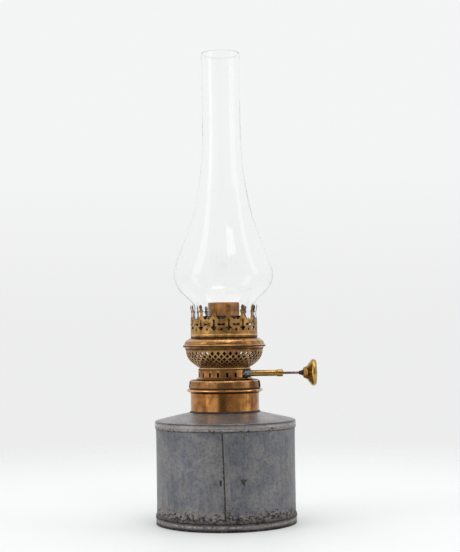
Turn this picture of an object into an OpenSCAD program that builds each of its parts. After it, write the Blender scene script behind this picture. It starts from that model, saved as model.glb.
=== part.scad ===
// Paraffin lamp for a lantern: a soldered tinplate tank, a brass round-wick burner and a glass chimney.
// Millimetres, +Z up. The origin is the centre of the tank's flat underside, on the lamp's axis.
// The wick drive's shaft runs along +X.

/* [Tank] */
// Outer radius of the tank wall
tank_r = 61.8; // [60:0.1:64]
// Thickness of the tinplate
tin_t = 0.55; // [0.4:0.05:0.7]
// Height of the shoulder where the conical cover begins
shoulder_z = 91.3; // [90:0.1:93]
// Height at which the cover meets the collar
neck_z = 98.4; // [98:0.1:98.6]

/* [Collar] */
// Outer radius of the collar
collar_r = 30.45; // [30.4:0.05:30.8]
// Height of the collar's rolled lip
collar_top_z = 119.2; // [119:0.1:119.4]
// Pitch of the burner's screw thread
pitch = 2.5; // [2:0.25:3]
// Depth of the screw thread
thread_depth = 0.5; // [0.4:0.05:0.5]

/* [Burner] */
// Thickness of the burner's brass sheet
brass_t = 0.5; // [0.4:0.05:0.6]
// Outer radius of the outer wick tube
wick_tube_r = 13.9; // [13.8:0.05:14]
// Height of the mouth of the wick tube
mouth_z = 195.8; // [195:0.1:197]
// Number of slots round the neck
neck_slots = 18; // [14:1:18]
// Angle from one slot to the next, which leaves a wider gap where the sleeve enters
slot_step = 19.4; // [18:0.1:19.4]
// Number of pierced diamonds in each row of the basket
basket_holes = 40; // [32:4:44]
// Number of rows of diamonds in the basket
basket_rows = 6; // [4:1:6]

/* [Gallery] */
// Angle of the first prong, to the right of the front
prong_phase = 8.4; // [-12:0.1:13]
// Number of prongs on the chimney gallery
prongs = 14; // [12:1:14]
// Outer radius of the gallery band
gallery_r = 29.6; // [29.5:0.05:29.8]

/* [Wick drive] */
// Distance of the shaft in front of the lamp's axis
shaft_y = -14.05; // [-14.2:0.05:-14.05]
// Height of the shaft
shaft_z = 132.6; // [132.4:0.1:132.7]
// Radius of the shaft
shaft_r = 1.1; // [1:0.05:1.1]
// Tip radius of the spur wheels
wheel_r = 2.95; // [2.7:0.05:2.95]
// Number of teeth on a spur wheel
wheel_teeth = 10; // [8:1:12]

/* [Chimney] */
// Outer radius of the chimney's foot
foot_r = 26.5; // [26.3:0.1:26.6]
// Outer radius of the chimney's neck
chimney_neck_r = 17.05; // [16.5:0.05:18]
// Largest outer radius of the bulb
bulb_r = 44.2; // [43:0.1:46]
// Height of the chimney's mouth
chimney_top_z = 417; // [400:1:430]
// Thickness of the glass
glass_t = 1.3; // [1:0.1:1.4]

/* [Hidden] */
$fn = 96;
eps = 0.01;

running_gap = 0.05;
tin = "slategray";
old_brass = "darkgoldenrod";
solder = "dimgray";

pan_skirt_in_r = tank_r + 0.2;
pan_skirt_r = pan_skirt_in_r + 0.6;
pan_skirt_h = 7.5;
cover_skirt_z = shoulder_z - 6.4;
cover_skirt_r = tank_r + 0.15 + tin_t;
seam_w = 4.6;
seam_t = 0.5;
seam_x = 1;

collar_t = 0.45;
collar_in_r = collar_r - collar_t;
female_root_r = collar_in_r - 0.35;
male_crest_r = female_root_r - 0.2;
male_inner_r = male_crest_r - thread_depth - 0.5;
washer_t = 0.7;
floor_z = collar_top_z + washer_t;
floor_t = 0.6;
cup_top_z = floor_z + 7.1;

neck_r = 23.4;
neck_top_z = cup_top_z + 9.4;
basket_rim_z = 156.4;
shield_r = 20.7;
shield_top_z = 148.3;
seat_z = 165.5;
seat_in_r = 24.3;
gallery_t = 0.45;
dot_r = 0.95;
cone_top_z = 182.6;

channel_in_r = 10.6;
channel_out_r = wick_tube_r - 0.5;
wick_in_r = channel_in_r + 0.2;
wick_out_r = channel_out_r - 0.6;
wick_top_z = mouth_z - 0.8;
wick_foot_z = 12;
wick_rise = 8;
window_base_z = 137;
window_apex_z = 168;
window_half_w = 8;

vent_x = -19;
vent_y = 8;
vent_r = 1.6;
housing_half_w = 10;
housing_front_y = shaft_y - wheel_r - 1.1;
sleeve_r = 2.65;
sleeve_end_x = 45.6;
ferrule_end_x = 51.4;
wheel_x = 7.4;
wheel_w = 1.6;

// ---------------------------------------------------------------- helpers

function unit(v) = v / norm(v);
function left_of(v) = [-v[1], v[0]];
function reversed(list) = [for (i = [len(list) - 1:-1:0]) list[i]];

// The other face of a sheet: the path moved sideways to its left by t, with mitred corners
function other_face(path, t) = [
    for (i = [0:len(path) - 1])
        let (
            before = i == 0 ? undef : left_of(unit(path[i] - path[i - 1])),
            after = i == len(path) - 1 ? undef : left_of(unit(path[i + 1] - path[i]))
        )
        path[i] + t * (is_undef(before) ? after
            : is_undef(after) ? before
            : (before + after) / (1 + before * after))
];

// A piece of sheet metal spun to a profile of [radius, height] points
module spun_sheet(path, t) {
    rotate_extrude() polygon(concat(path, reversed(other_face(path, t))));
}

module ring(inner, outer, low, high) {
    difference() {
        translate([0, 0, low]) cylinder(r = outer, h = high - low);
        translate([0, 0, low - 1]) cylinder(r = inner, h = high - low + 2);
    }
}

// Children drawn along +Z are laid along the shaft's axis, with their Z as the shaft's X
module on_shaft(x = 0) {
    translate([x, shaft_y, shaft_z]) rotate([0, 90, 0]) children();
}

module around(count, phase = 0) {
    for (i = [0:count - 1]) rotate([0, 0, phase + i * 360 / count]) children();
}

// A flat outline in [across, height] pushed out radially, along -Y
module radial_cut(points, from_r, to_r) {
    translate([0, -from_r, 0]) rotate([90, 0, 0]) linear_extrude(to_r - from_r) polygon(points);
}

function mirrored(half) = concat(half, [for (p = reversed(half)) if (abs(p[0]) > eps) [-p[0], p[1]]]);

// ---------------------------------------------------------------- tank

module tank_wall() {
    color(tin) union() {
        ring(tank_r - tin_t, tank_r, 0.6, shoulder_z - 0.9);
        intersection() {
            ring(tank_r - 0.1, tank_r + seam_t, pan_skirt_h + 1.2, cover_skirt_z - 1.1);
            translate([seam_x - seam_w / 2, -tank_r - 2, 0]) cube([seam_w, 6, shoulder_z]);
        }
    }
}

module tank_bottom_pan() {
    hem_r = pan_skirt_r + 0.45;
    color(tin) rotate_extrude() polygon([
        [0, 0], [pan_skirt_r - 0.3, 0], [pan_skirt_r, 0.3], [pan_skirt_r, 5.4], [hem_r - 0.05, 5.9],
        [hem_r, 6.6], [hem_r - 0.35, pan_skirt_h - 0.1], [pan_skirt_in_r, pan_skirt_h],
        [pan_skirt_in_r, 0.6], [0, 0.6]
    ]);
}

module tank_top_cover() {
    r = cover_skirt_r;
    color(tin) spun_sheet([
        [r, cover_skirt_z], [r + 0.25, cover_skirt_z + 0.4], [r + 0.25, cover_skirt_z + 1.3],
        [r, cover_skirt_z + 1.7], [r, shoulder_z - 0.6], [r - 0.3, shoulder_z],
        [r - 2, shoulder_z + 0.6], [48, 94.7], [36, 97.4], [collar_r + 0.1, neck_z],
        [collar_in_r - 0.05, neck_z + 0.5], [collar_in_r - 0.05, neck_z + 4]
    ], tin_t);
}

module bottom_solder() {
    color(solder) rotate_extrude() polygon([
        [tank_r, 0.6], [pan_skirt_in_r, 0.6], [pan_skirt_in_r, pan_skirt_h],
        [pan_skirt_in_r + 0.6, pan_skirt_h], [tank_r, pan_skirt_h + 1.1]
    ]);
}

module cover_solder() {
    color(solder) rotate_extrude() polygon([
        [tank_r, cover_skirt_z - 1], [tank_r + 0.6, cover_skirt_z], [tank_r + 0.15, cover_skirt_z],
        [tank_r + 0.15, cover_skirt_z + 3], [tank_r, cover_skirt_z + 3]
    ]);
}

// ---------------------------------------------------------------- collar and thread

module collar() {
    lip_r = 33.85;
    z = collar_top_z;
    color(old_brass) rotate_extrude() polygon([
        [collar_in_r, neck_z + 0.55], [collar_r, neck_z + 0.55], [collar_r, z - 4], [31, z - 3.3],
        [32.6, z - 2.9], [33.5, z - 2.3], [lip_r, z - 1.6], [33.6, z - 0.8], [32.8, z - 0.3],
        [31.2, z], [collar_in_r, z]
    ]);
}

module collar_solder() {
    color(solder) rotate_extrude() polygon([
        [collar_r, neck_z + 0.15], [collar_r + 1.3, neck_z - 0.1], [collar_r + 0.5, neck_z + 0.8],
        [collar_r, neck_z + 1.4]
    ]);
}

// A ring with a rolled right-hand thread on one wall and a smooth wall at smooth_r.
// The wave is a cosine along the axis, sampled four times a pitch.
module threaded_ring(low, steps, root_r, smooth_r) {
    sides = 48;
    step = pitch / 4;
    rows = steps + 3;
    outside = smooth_r < root_r;
    function wall_r(z, a) = root_r + thread_depth * (1 + cos(360 * z / pitch - a)) / 2;
    points = [
        for (j = [0:sides - 1])
            let (a = j * 360 / sides)
            each concat(
                [for (i = [0:steps]) let (z = low + i * step) [wall_r(z, a) * cos(a), wall_r(z, a) * sin(a), z]],
                [for (z = [low + steps * step, low]) [smooth_r * cos(a), smooth_r * sin(a), z]]
            )
    ];
    faces = [
        for (j = [0:sides - 1], k = [0:rows - 1])
            let (
                here = j * rows + k,
                up = j * rows + (k + 1) % rows,
                beside = ((j + 1) % sides) * rows + k,
                across = ((j + 1) % sides) * rows + (k + 1) % rows
            )
            each (outside ? [[here, across, beside], [here, up, across]]
                : [[here, beside, across], [here, across, up]])
    ];
    polyhedron(points = points, faces = faces);
}

module collar_thread_ring() {
    color(old_brass) threaded_ring(104.5, 16, female_root_r - thread_depth, collar_in_r - 0.02);
}

module burner_thread_ring() {
    steps = 21;
    color(old_brass)
        threaded_ring(floor_z - steps * pitch / 4, steps, male_crest_r - thread_depth, male_inner_r);
}

module leather_washer() {
    color("saddlebrown") ring(collar_in_r, 31.4, collar_top_z, floor_z);
}

// ---------------------------------------------------------------- burner body

module burner_floor() {
    color(old_brass) difference() {
        rotate_extrude() polygon([
            [wick_tube_r, floor_z], [31.2, floor_z], [31.2, floor_z + floor_t],
            [wick_tube_r + 0.5, floor_z + floor_t], [wick_tube_r + 0.5, floor_z + 3], [wick_tube_r, floor_z + 3]
        ]);
        translate([vent_x, vent_y, floor_z - 1]) cylinder(r = vent_r, h = 4, $fn = 24);
    }
}

module vent_tube() {
    color(old_brass) translate([vent_x, vent_y, 0]) difference() {
        translate([0, 0, floor_z - 7]) cylinder(r = vent_r, h = 10, $fn = 24);
        translate([0, 0, floor_z - 8]) cylinder(r = vent_r - 0.4, h = 12, $fn = 24);
    }
}

module burner_cup() {
    notch_angle = 77;
    color(old_brass) difference() {
        spun_sheet([
            [31.9, floor_z], [31.8, floor_z + 1], [31.5, cup_top_z - 2.4], [31.1, cup_top_z - 1.1],
            [30.2, cup_top_z - 0.3], [28.9, cup_top_z], [20.5, cup_top_z]
        ], brass_t);
        rotate([0, 0, notch_angle]) translate([-3.5, -35, floor_z + 0.5]) cube([7, 8, 5.6]);
    }
}

module slotted_neck() {
    slot_w = 1.9;
    first_slot = 44;
    color(old_brass) difference() {
        spun_sheet([
            [25.3, cup_top_z], [25.3, cup_top_z + 0.6], [23.9, cup_top_z + 1.1],
            [neck_r, cup_top_z + 1.7], [neck_r, neck_top_z]
        ], brass_t);
        for (i = [0:neck_slots - 1]) rotate([0, 0, first_slot - i * slot_step])
            translate([-slot_w / 2, -neck_r - 2, cup_top_z + 2.5]) cube([slot_w, 5, 4]);
        on_shaft() cylinder(r = sleeve_r, h = 30, $fn = 48);
    }
}

// The turned ring under the basket, with a thin shield that rises inside the lowest rows of holes
module basket_foot_ring() {
    z = neck_top_z;
    color(old_brass) rotate_extrude() polygon([
        [20.9, z], [22.6, z], [22.9, z + 0.4], [22.9, z + 1], [22.6, z + 1.4], [21.2, z + 1.4],
        [shield_r, shield_top_z], [shield_r - 0.4, shield_top_z], [20.8, z + 1.4]
    ]);
}

basket_path = [
    [21.3, neck_top_z + 1.4], [22.6, neck_top_z + 1.6], [26.7, 140.8], [30, 143.4], [32.4, 146.3],
    [33.7, 149.4], [34.3, 152.6], [34.6, 154.4], [35.4, 155.5], [36.8, basket_rim_z], [36.8, 156.9]
];

// A diamond cutter for one row, standing square to the sheet at [radius, height, lean]
module diamond_cutter(half_w, half_h, place) {
    translate([0, -place[0], place[1]]) rotate([90 + place[2], 0, 0])
        linear_extrude(6, center = true) polygon([[half_w, 0], [0, half_h], [-half_w, 0], [0, -half_h]]);
}

// [radius, height, lean from upright] of each row's centre, from the top row down
basket_rows_at = [
    [33.9, 150.4, 11], [33, 147.6, 24], [31.5, 145.2, 40], [29.3, 142.8, 51], [27.2, 141.2, 54],
    [25.1, 139.7, 56]
];

module pierced_basket() {
    color(old_brass) difference() {
        spun_sheet(basket_path, brass_t);
        for (row = [0:basket_rows - 1])
            around(basket_holes, row % 2 * 180 / basket_holes)
                diamond_cutter(basket_rows_at[row][0] * 0.036, row == 0 ? 1.8 : 1.2, basket_rows_at[row]);
    }
}

module cowl() {
    color(old_brass) spun_sheet([
        [36.6, 156.95], [36.5, 157.9], [35.9, 158.5], [35.3, 158.8], [35.4, 159.6], [34.8, 160.8],
        [33.4, 162.2], [31.4, 163.4], [gallery_r - brass_t, 164.1], [gallery_r - brass_t, seat_z],
        [seat_in_r, seat_z], [seat_in_r, seat_z + 2.1]
    ], brass_t);
}

module air_cone() {
    foot = seat_in_r - brass_t - 0.05;
    color(old_brass) spun_sheet([
        [foot, seat_z - 1.9], [foot, seat_z + 1.9], [19.8, cone_top_z], [20.2, cone_top_z + 0.6]
    ], 0.4);
}

// ---------------------------------------------------------------- gallery

// Half of the open valley between two prongs, from its middle outwards and up.
// The prong beside it tapers to a waist, then has two ears, a neck and a pointed head.
valley_half = [
    [0, 181.5], [0.3, 181.25], [0.65, 180.75], [1.05, 180.25], [1.65, 180.05], [2.35, 180.25], [2.95, 180.8],
    [3.35, 181.5], [3.9, 182], [4.55, 182.8], [4.95, 183.7], [5.1, 184.7], [5.1, 185.7], [4.85, 186.4],
    [4.3, 186.8], [4, 187.3], [4.2, 187.9], [4.85, 188.5], [5.3, 189.2], [5.25, 189.7], [4.9, 190.4],
    [4.85, 191.2], [5.25, 192.1], [6, 192.75], [6.58, 193.3], [6.6, 196]
];
// Half of the scroll-shaped hole and of the dagger-shaped hole
scroll_half = [
    [0, 175.25], [0.8, 175.05], [1.7, 174.85], [2.6, 174.75], [3.3, 175.3], [3.45, 176.1], [3, 176.9],
    [2.2, 177.1], [1.4, 176.9], [0.7, 176.6], [0, 176.3]
];
dagger_half = [
    [0, 170.4], [0.8, 171], [1, 172], [1.9, 172.3], [2.35, 173], [1.9, 173.7], [1, 174], [0.65, 174.9],
    [0.65, 178.6], [0.9, 179.3], [0.65, 180], [0, 180.4]
];

module gallery() {
    color("goldenrod") difference() {
        spun_sheet([
            [gallery_r, 164.15], [gallery_r, 166.1], [gallery_r + 0.4, 166.6], [gallery_r + 0.4, 167.4],
            [gallery_r, 167.9], [gallery_r, 180.5], [gallery_r - 0.7, 184], [gallery_r - 0.75, 186.5],
            [gallery_r + 0.3, 193.3]
        ], gallery_t);
        around(prongs, prong_phase - 180 / prongs) {
            radial_cut(mirrored(valley_half), 20, 40);
            radial_cut(mirrored(scroll_half), 20, 40);
            translate([0, -20, 171.5]) rotate([90, 0, 0]) cylinder(r = dot_r, h = 20, $fn = 24);
        }
        around(prongs, prong_phase) radial_cut(mirrored(dagger_half), 20, 40);
    }
}

module chimney_spring_ring() {
    tongues = 7;
    spread = 14;
    r = gallery_r - gallery_t - 0.05;
    t = 0.25;
    path = tongue_path(r - 0.05);
    color(old_brass) union() {
        ring(r - t - 0.1, r, seat_z + 0.5, seat_z + 3);
        for (i = [0:tongues - 1]) rotate([0, 0, i * 360 / tongues])
            rotate_extrude(angle = spread) polygon(concat(path, reversed(other_face(path, t))));
    }
}

function tongue_path(r) = [[r, seat_z + 2], [r, seat_z + 3.4], [foot_r + 0.65, seat_z + 8.5], [r - 0.7, seat_z + 12]];

// ---------------------------------------------------------------- wick tubes

// The triangular way in for the central draught, at the back of the wick tubes
module window_prism(grow) {
    rotate([90, 0, 180]) linear_extrude(20) polygon([
        [-window_half_w - grow, window_base_z - grow], [window_half_w + grow, window_base_z - grow],
        [0, window_apex_z + grow * 3]
    ]);
}

module outer_wick_tube() {
    color("peru") difference() {
        ring(channel_out_r, wick_tube_r, floor_z - 8, mouth_z);
        window_prism(0);
        translate([-9, -16, shaft_z - 3.3]) cube([18, 8, 6.6]);
    }
}

module inner_draught_tube() {
    color("peru") difference() {
        union() {
            ring(channel_in_r - 0.5, channel_in_r, floor_z + 2, mouth_z - 1);
            translate([0, 0, window_base_z - 0.9]) cylinder(r = channel_in_r - 0.4, h = 0.5);
        }
        window_prism(0);
    }
}

module air_window_frame() {
    color("peru") intersection() {
        ring(channel_in_r, channel_out_r, window_base_z - 3, window_apex_z + 4);
        difference() {
            window_prism(0.5);
            window_prism(0);
        }
    }
}

module wick() {
    gap_w = window_half_w + 1.2;
    full_z = window_base_z + wick_rise + 2;
    color("antiquewhite") difference() {
        ring(wick_in_r, wick_out_r, wick_foot_z, wick_top_z);
        rotate([90, 0, 180]) linear_extrude(20) polygon(mirrored([
            [gap_w, wick_foot_z - 1], [gap_w, full_z], [0.25, window_apex_z + wick_rise + 6],
            [0.25, wick_top_z + 1]
        ]));
    }
}

// ---------------------------------------------------------------- wick drive

module drive_housing() {
    color(old_brass) difference() {
        translate([-housing_half_w, housing_front_y, shaft_z - 3.8])
            cube([2 * housing_half_w, -housing_front_y - 9, 7.6]);
        translate([-housing_half_w + 0.5, housing_front_y + 0.5, shaft_z - 3.3])
            cube([2 * housing_half_w - 1, -housing_front_y, 6.6]);
        translate([0, 0, shaft_z - 6]) cylinder(r = wick_tube_r, h = 12);
        on_shaft(-20) cylinder(r = shaft_r + running_gap, h = 40, $fn = 48);
    }
}

module shaft_sleeve() {
    color(old_brass) on_shaft() difference() {
        translate([0, 0, housing_half_w]) cylinder(r = sleeve_r, h = sleeve_end_x - housing_half_w, $fn = 48);
        translate([0, 0, housing_half_w - 1]) cylinder(r = 1.6, h = 50, $fn = 48);
    }
}

module sleeve_bush() {
    color(old_brass) on_shaft() difference() {
        translate([0, 0, housing_half_w]) cylinder(r = 1.6, h = 4, $fn = 48);
        translate([0, 0, housing_half_w - 1]) cylinder(r = shaft_r + running_gap, h = 6, $fn = 48);
    }
}

module sleeve_ferrule() {
    bore_r = shaft_r + running_gap;
    color(old_brass) on_shaft() rotate_extrude($fn = 48) polygon([
        [bore_r, sleeve_end_x], [3, sleeve_end_x], [3.15, sleeve_end_x + 0.3], [3.15, sleeve_end_x + 1.8],
        [2.9, sleeve_end_x + 2.1], [2.9, sleeve_end_x + 2.5], [3.15, sleeve_end_x + 2.8],
        [3.15, ferrule_end_x - 0.6], [2.6, ferrule_end_x], [bore_r, ferrule_end_x]
    ]);
}

module sleeve_solder() {
    color(solder) difference() {
        on_shaft(14.5) cylinder(r1 = 4.6, r2 = 2.9, h = 9.5, $fn = 48);
        translate([0, 0, 100]) cylinder(r = neck_r + 0.02, h = 60);
        on_shaft() cylinder(r = sleeve_r, h = 40, $fn = 48);
    }
}

module wick_shaft() {
    color("saddlebrown") on_shaft(-12.5) cylinder(r = shaft_r, h = 80.5, $fn = 48);
}

module spur_wheel(x) {
    root_r = wheel_r - 0.65;
    half = 180 / wheel_teeth;
    color(old_brass) on_shaft(x - wheel_w / 2) difference() {
        linear_extrude(wheel_w) polygon([
            for (i = [0:wheel_teeth - 1], p = [[root_r, -0.55], [wheel_r, -0.12], [wheel_r, 0.12], [root_r, 0.55]])
                p[0] * [cos((2 * i + p[1]) * half), sin((2 * i + p[1]) * half)]
        ]);
        translate([0, 0, -1]) cylinder(r = shaft_r, h = wheel_w + 2, $fn = 48);
    }
}

module shaft_keeper() {
    color(old_brass) on_shaft(-12.3) difference() {
        cylinder(r = 2, h = 2.1, $fn = 48);
        translate([0, 0, -1]) cylinder(r = shaft_r, h = 5, $fn = 48);
    }
}

module knob_hub() {
    color("darkslategray") on_shaft() rotate_extrude($fn = 48) polygon([
        [shaft_r, 65.4], [1.7, 65.4], [1.9, 66.6], [2.4, 68.4], [3, 69], [3, 71.8], [shaft_r, 71.8]
    ]);
}

module knob_shell() {
    path = [
        [3, 68.9], [3.5, 68.9], [4.6, 69.4], [5.1, 70.2], [5.7, 72], [6.6, 73.1], [8.2, 74.2], [9.6, 75.2],
        [10.8, 76.4], [11.6, 77.3], [11.75, 78.2], [11.4, 79.2]
    ];
    color(old_brass) on_shaft() rotate_extrude($fn = 72)
        polygon(concat(path, reversed(other_face(path, 0.5))));
}

module knob_face() {
    color(old_brass) on_shaft() rotate_extrude($fn = 72) polygon([
        [11.4, 79.2], [10.9, 80.2], [10.1, 80.7], [8.8, 80.6], [8, 80.9], [3.4, 81.3], [0, 81.4],
        [0, 80.9], [3.4, 80.8], [8, 80.4], [9.9, 80.1], [10.5, 79.2]
    ]);
}

// ---------------------------------------------------------------- chimney

// Outer outline of the bulb from its foot up, as [radius, height]
bulb_outline = [
    [foot_r, 186], [foot_r, 190.5], [26.9, 193], [29.2, 196.4], [33.4, 200.6], [38.3, 205.2], [42.2, 211],
    [bulb_r - 0.3, 216.5], [bulb_r, 221], [43, 227], [40.3, 235], [36.2, 245.5], [31.4, 258], [26.7, 273],
    [22.6, 291], [19.4, 311], [17.5, 331], [chimney_neck_r, 346], [chimney_neck_r, 362]
];

// A smooth curve through the inner points of a list, by Catmull-Rom
function smooth_point(a, b, c, d, t) = 0.5 * (
    2 * b + (c - a) * t + (2 * a - 5 * b + 4 * c - d) * t * t + (3 * b - a - 3 * c + d) * t * t * t
);
function smooth_curve(p, steps) = [
    for (i = [1:len(p) - 3], s = [0:steps - 1]) smooth_point(p[i - 1], p[i], p[i + 1], p[i + 2], s / steps)
];

module chimney() {
    outer = concat(
        [[foot_r - 0.3, seat_z], [foot_r, seat_z + 0.4]], smooth_curve(bulb_outline, 3),
        [[chimney_neck_r, 346], [chimney_neck_r, chimney_top_z - 0.4], [chimney_neck_r - 0.3, chimney_top_z]]
    );
    inner = concat(
        [[foot_r - glass_t, seat_z]], other_face(smooth_curve(bulb_outline, 3), glass_t),
        [[chimney_neck_r - glass_t, 346], [chimney_neck_r - glass_t, chimney_top_z]]
    );
    color("aliceblue", 0.35) rotate_extrude() polygon(concat(outer, reversed(inner)));
}

// ---------------------------------------------------------------- nodes

tank_wall();
tank_bottom_pan();
tank_top_cover();
bottom_solder();
cover_solder();
collar();
collar_thread_ring();
collar_solder();
leather_washer();
burner_thread_ring();
burner_floor();
burner_cup();
vent_tube();
slotted_neck();
basket_foot_ring();
pierced_basket();
cowl();
air_cone();
gallery();
chimney_spring_ring();
outer_wick_tube();
inner_draught_tube();
air_window_frame();
drive_housing();
shaft_sleeve();
sleeve_bush();
sleeve_ferrule();
sleeve_solder();
wick_shaft();
spur_wheel(-wheel_x);  // left_spur_wheel
spur_wheel(wheel_x);  // right_spur_wheel
shaft_keeper();
knob_hub();
knob_shell();
knob_face();
wick();
chimney();
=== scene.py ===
import math

import bmesh
import bpy
from mathutils import Matrix, Vector, noise


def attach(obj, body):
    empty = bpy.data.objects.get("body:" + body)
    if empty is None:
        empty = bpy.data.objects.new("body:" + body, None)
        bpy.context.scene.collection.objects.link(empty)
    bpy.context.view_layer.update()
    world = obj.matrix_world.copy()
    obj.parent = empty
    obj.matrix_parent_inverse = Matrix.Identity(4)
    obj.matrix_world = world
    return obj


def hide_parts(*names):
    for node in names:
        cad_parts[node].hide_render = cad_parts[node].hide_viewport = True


# A paraffin lamp for a lantern: tinplate tank, brass round-wick burner, glass chimney.
# The origin is the centre of the tank's underside. Profiles are in millimetres as (radius, height).
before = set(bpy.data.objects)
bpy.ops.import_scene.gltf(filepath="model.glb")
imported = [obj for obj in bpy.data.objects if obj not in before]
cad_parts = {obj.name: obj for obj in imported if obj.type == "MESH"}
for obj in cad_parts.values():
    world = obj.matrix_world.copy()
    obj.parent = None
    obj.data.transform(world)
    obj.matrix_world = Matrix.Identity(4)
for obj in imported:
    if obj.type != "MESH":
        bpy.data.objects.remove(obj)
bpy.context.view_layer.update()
MM = 0.001


# ------------------------ tank wall
# One sheet of tinplate rolled to a cylinder, slightly dished and dented by use. The tin has oxidised in
# blue-grey clouds, with rust and black crust where damp stood at its foot.

def new_group(name, inputs, outputs):
    """An empty shader node group with its named sockets: inputs and outputs are (name, kind, default)."""
    tree = bpy.data.node_groups.new(name, "ShaderNodeTree")
    for label, kind, value in inputs:
        socket = tree.interface.new_socket(label, in_out="INPUT", socket_type=kind)
        if value is not None:
            socket.default_value = value
    for label, kind in outputs:
        tree.interface.new_socket(label, in_out="OUTPUT", socket_type=kind)
    return tree, tree.nodes.new("NodeGroupInput"), tree.nodes.new("NodeGroupOutput")


def put(tree, value, socket):
    """Sets a socket, or links it when the value is itself a socket."""
    if isinstance(value, bpy.types.NodeSocket):
        tree.links.new(value, socket)
    else:
        socket.default_value = value


def math_node(tree, operation, a, b=0.0, clamp=False):
    node = tree.nodes.new("ShaderNodeMath")
    node.operation = operation
    node.use_clamp = clamp
    put(tree, a, node.inputs[0])
    put(tree, b, node.inputs[1])
    return node.outputs[0]


def times(tree, a, b):
    return math_node(tree, "MULTIPLY", a, b)


def plus(tree, a, b):
    return math_node(tree, "ADD", a, b)


def larger(tree, a, b):
    return math_node(tree, "MAXIMUM", a, b)


def weighted(tree, parts):
    """The sum of several masks, each times its share."""
    total = 0.0
    for mask, share in parts:
        total = plus(tree, total, times(tree, mask, share))
    return total


def noise_node(tree, vector, scale, detail=4.0, rough=0.55, distortion=0.0):
    node = tree.nodes.new("ShaderNodeTexNoise")
    put(tree, vector, node.inputs["Vector"])
    put(tree, scale, node.inputs["Scale"])
    put(tree, detail, node.inputs["Detail"])
    put(tree, rough, node.inputs["Roughness"])
    put(tree, distortion, node.inputs["Distortion"])
    return node.outputs["Fac"]


def between(tree, value, low, high, to_low=0.0, to_high=1.0):
    node = tree.nodes.new("ShaderNodeMapRange")
    node.interpolation_type = "SMOOTHSTEP"
    for socket, x in zip(node.inputs[:5], (value, low, high, to_low, to_high)):
        put(tree, x, socket)
    return node.outputs[0]


def mix_colour(tree, factor, a, b):
    node = tree.nodes.new("ShaderNodeMix")
    node.data_type = "RGBA"
    put(tree, factor, node.inputs["Factor"])
    put(tree, a, node.inputs["A"])
    put(tree, b, node.inputs["B"])
    return node.outputs["Result"]


def mapped(tree, vector, scale, move=(0, 0, 0)):
    node = tree.nodes.new("ShaderNodeMapping")
    node.inputs["Scale"].default_value = scale
    node.inputs["Location"].default_value = move
    put(tree, vector, node.inputs["Vector"])
    return node.outputs[0]


VECTOR, NUMBER = "NodeSocketVector", "NodeSocketFloat"

# Tarnish: soft patches, small specks and a fine grain, for any old metal
tarnish, t_in, t_out = new_group(
    "Tarnish",
    [("Vector", VECTOR, None), ("Patch size", NUMBER, 0.012), ("Speck size", NUMBER, 0.001)],
    [("Patches", NUMBER), ("Specks", NUMBER), ("Grain", NUMBER)],
)
patch_scale = math_node(tarnish, "DIVIDE", 1.0, t_in.outputs["Patch size"])
speck_scale = math_node(tarnish, "DIVIDE", 1.0, t_in.outputs["Speck size"])
patches = noise_node(tarnish, t_in.outputs["Vector"], patch_scale, 6.0, 0.6, 0.4)
specks = noise_node(tarnish, t_in.outputs["Vector"], speck_scale, 3.0, 0.7)
grain = noise_node(tarnish, t_in.outputs["Vector"], times(tarnish, speck_scale, 2.5), 2.0)
tarnish.links.new(between(tarnish, patches, 0.36, 0.64), t_out.inputs["Patches"])
tarnish.links.new(between(tarnish, specks, 0.58, 0.72), t_out.inputs["Specks"])
tarnish.links.new(grain, t_out.inputs["Grain"])

# Wear: reads the 'ridge' attribute of a piece, above 0 on ridges and below 0 in hollows, and breaks it up.
# It also passes on the attribute that is 1 where a wall faces the lamp's axis, which the brass darkens as
# painted shade.
wear, w_in, w_out = new_group(
    "Wear",
    [("Vector", VECTOR, None), ("Amount", NUMBER, 1.0)],
    [("Rubbed", NUMBER), ("Dirt", NUMBER), ("Inside", NUMBER)],
)
ridge = wear.nodes.new("ShaderNodeAttribute")
ridge.attribute_name = "ridge"
broken = noise_node(wear, w_in.outputs["Vector"], 420.0, 4.0, 0.65)
rubbed = times(wear, ridge.outputs["Fac"], between(wear, broken, 0.3, 0.6))
dirt = times(wear, times(wear, ridge.outputs["Fac"], -1.0), between(wear, broken, 0.2, 0.65, 0.5, 1.0))
for found, socket in ((rubbed, "Rubbed"), (dirt, "Dirt")):
    scaled = math_node(wear, "MULTIPLY", found, w_in.outputs["Amount"], clamp=True)
    wear.links.new(scaled, w_out.inputs[socket])
inside_of = wear.nodes.new("ShaderNodeAttribute")
inside_of.attribute_name = "inside"
wear.links.new(inside_of.outputs["Fac"], w_out.inputs["Inside"])


def start_material(name):
    material = bpy.data.materials.new(name)
    material.use_nodes = True
    tree = material.node_tree
    shader = tree.nodes["Principled BSDF"]
    where = tree.nodes.new("ShaderNodeTexCoord").outputs["Object"]
    return material, tree, shader, where


def use_group(tree, group, **values):
    node = tree.nodes.new("ShaderNodeGroup")
    node.node_tree = group
    for label, value in values.items():
        put(tree, value, node.inputs[label.replace("_", " ")])
    return node.outputs


def bump(tree, shader, height, strength, distance):
    node = tree.nodes.new("ShaderNodeBump")
    node.inputs["Strength"].default_value = strength
    node.inputs["Distance"].default_value = distance
    put(tree, height, node.inputs["Height"])
    tree.links.new(node.outputs[0], shader.inputs["Normal"])


def height_of(tree, where):
    split = tree.nodes.new("ShaderNodeSeparateXYZ")
    tree.links.new(where, split.inputs[0])
    return split.outputs[2]


def line_at(tree, z, height, core, edge, strength):
    """A thin line round the lamp at a height: at full strength as far as core from it, and gone at edge."""
    off = math_node(tree, "ABSOLUTE", math_node(tree, "SUBTRACT", z, height))
    return between(tree, off, core, edge, strength, 0.0)


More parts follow.
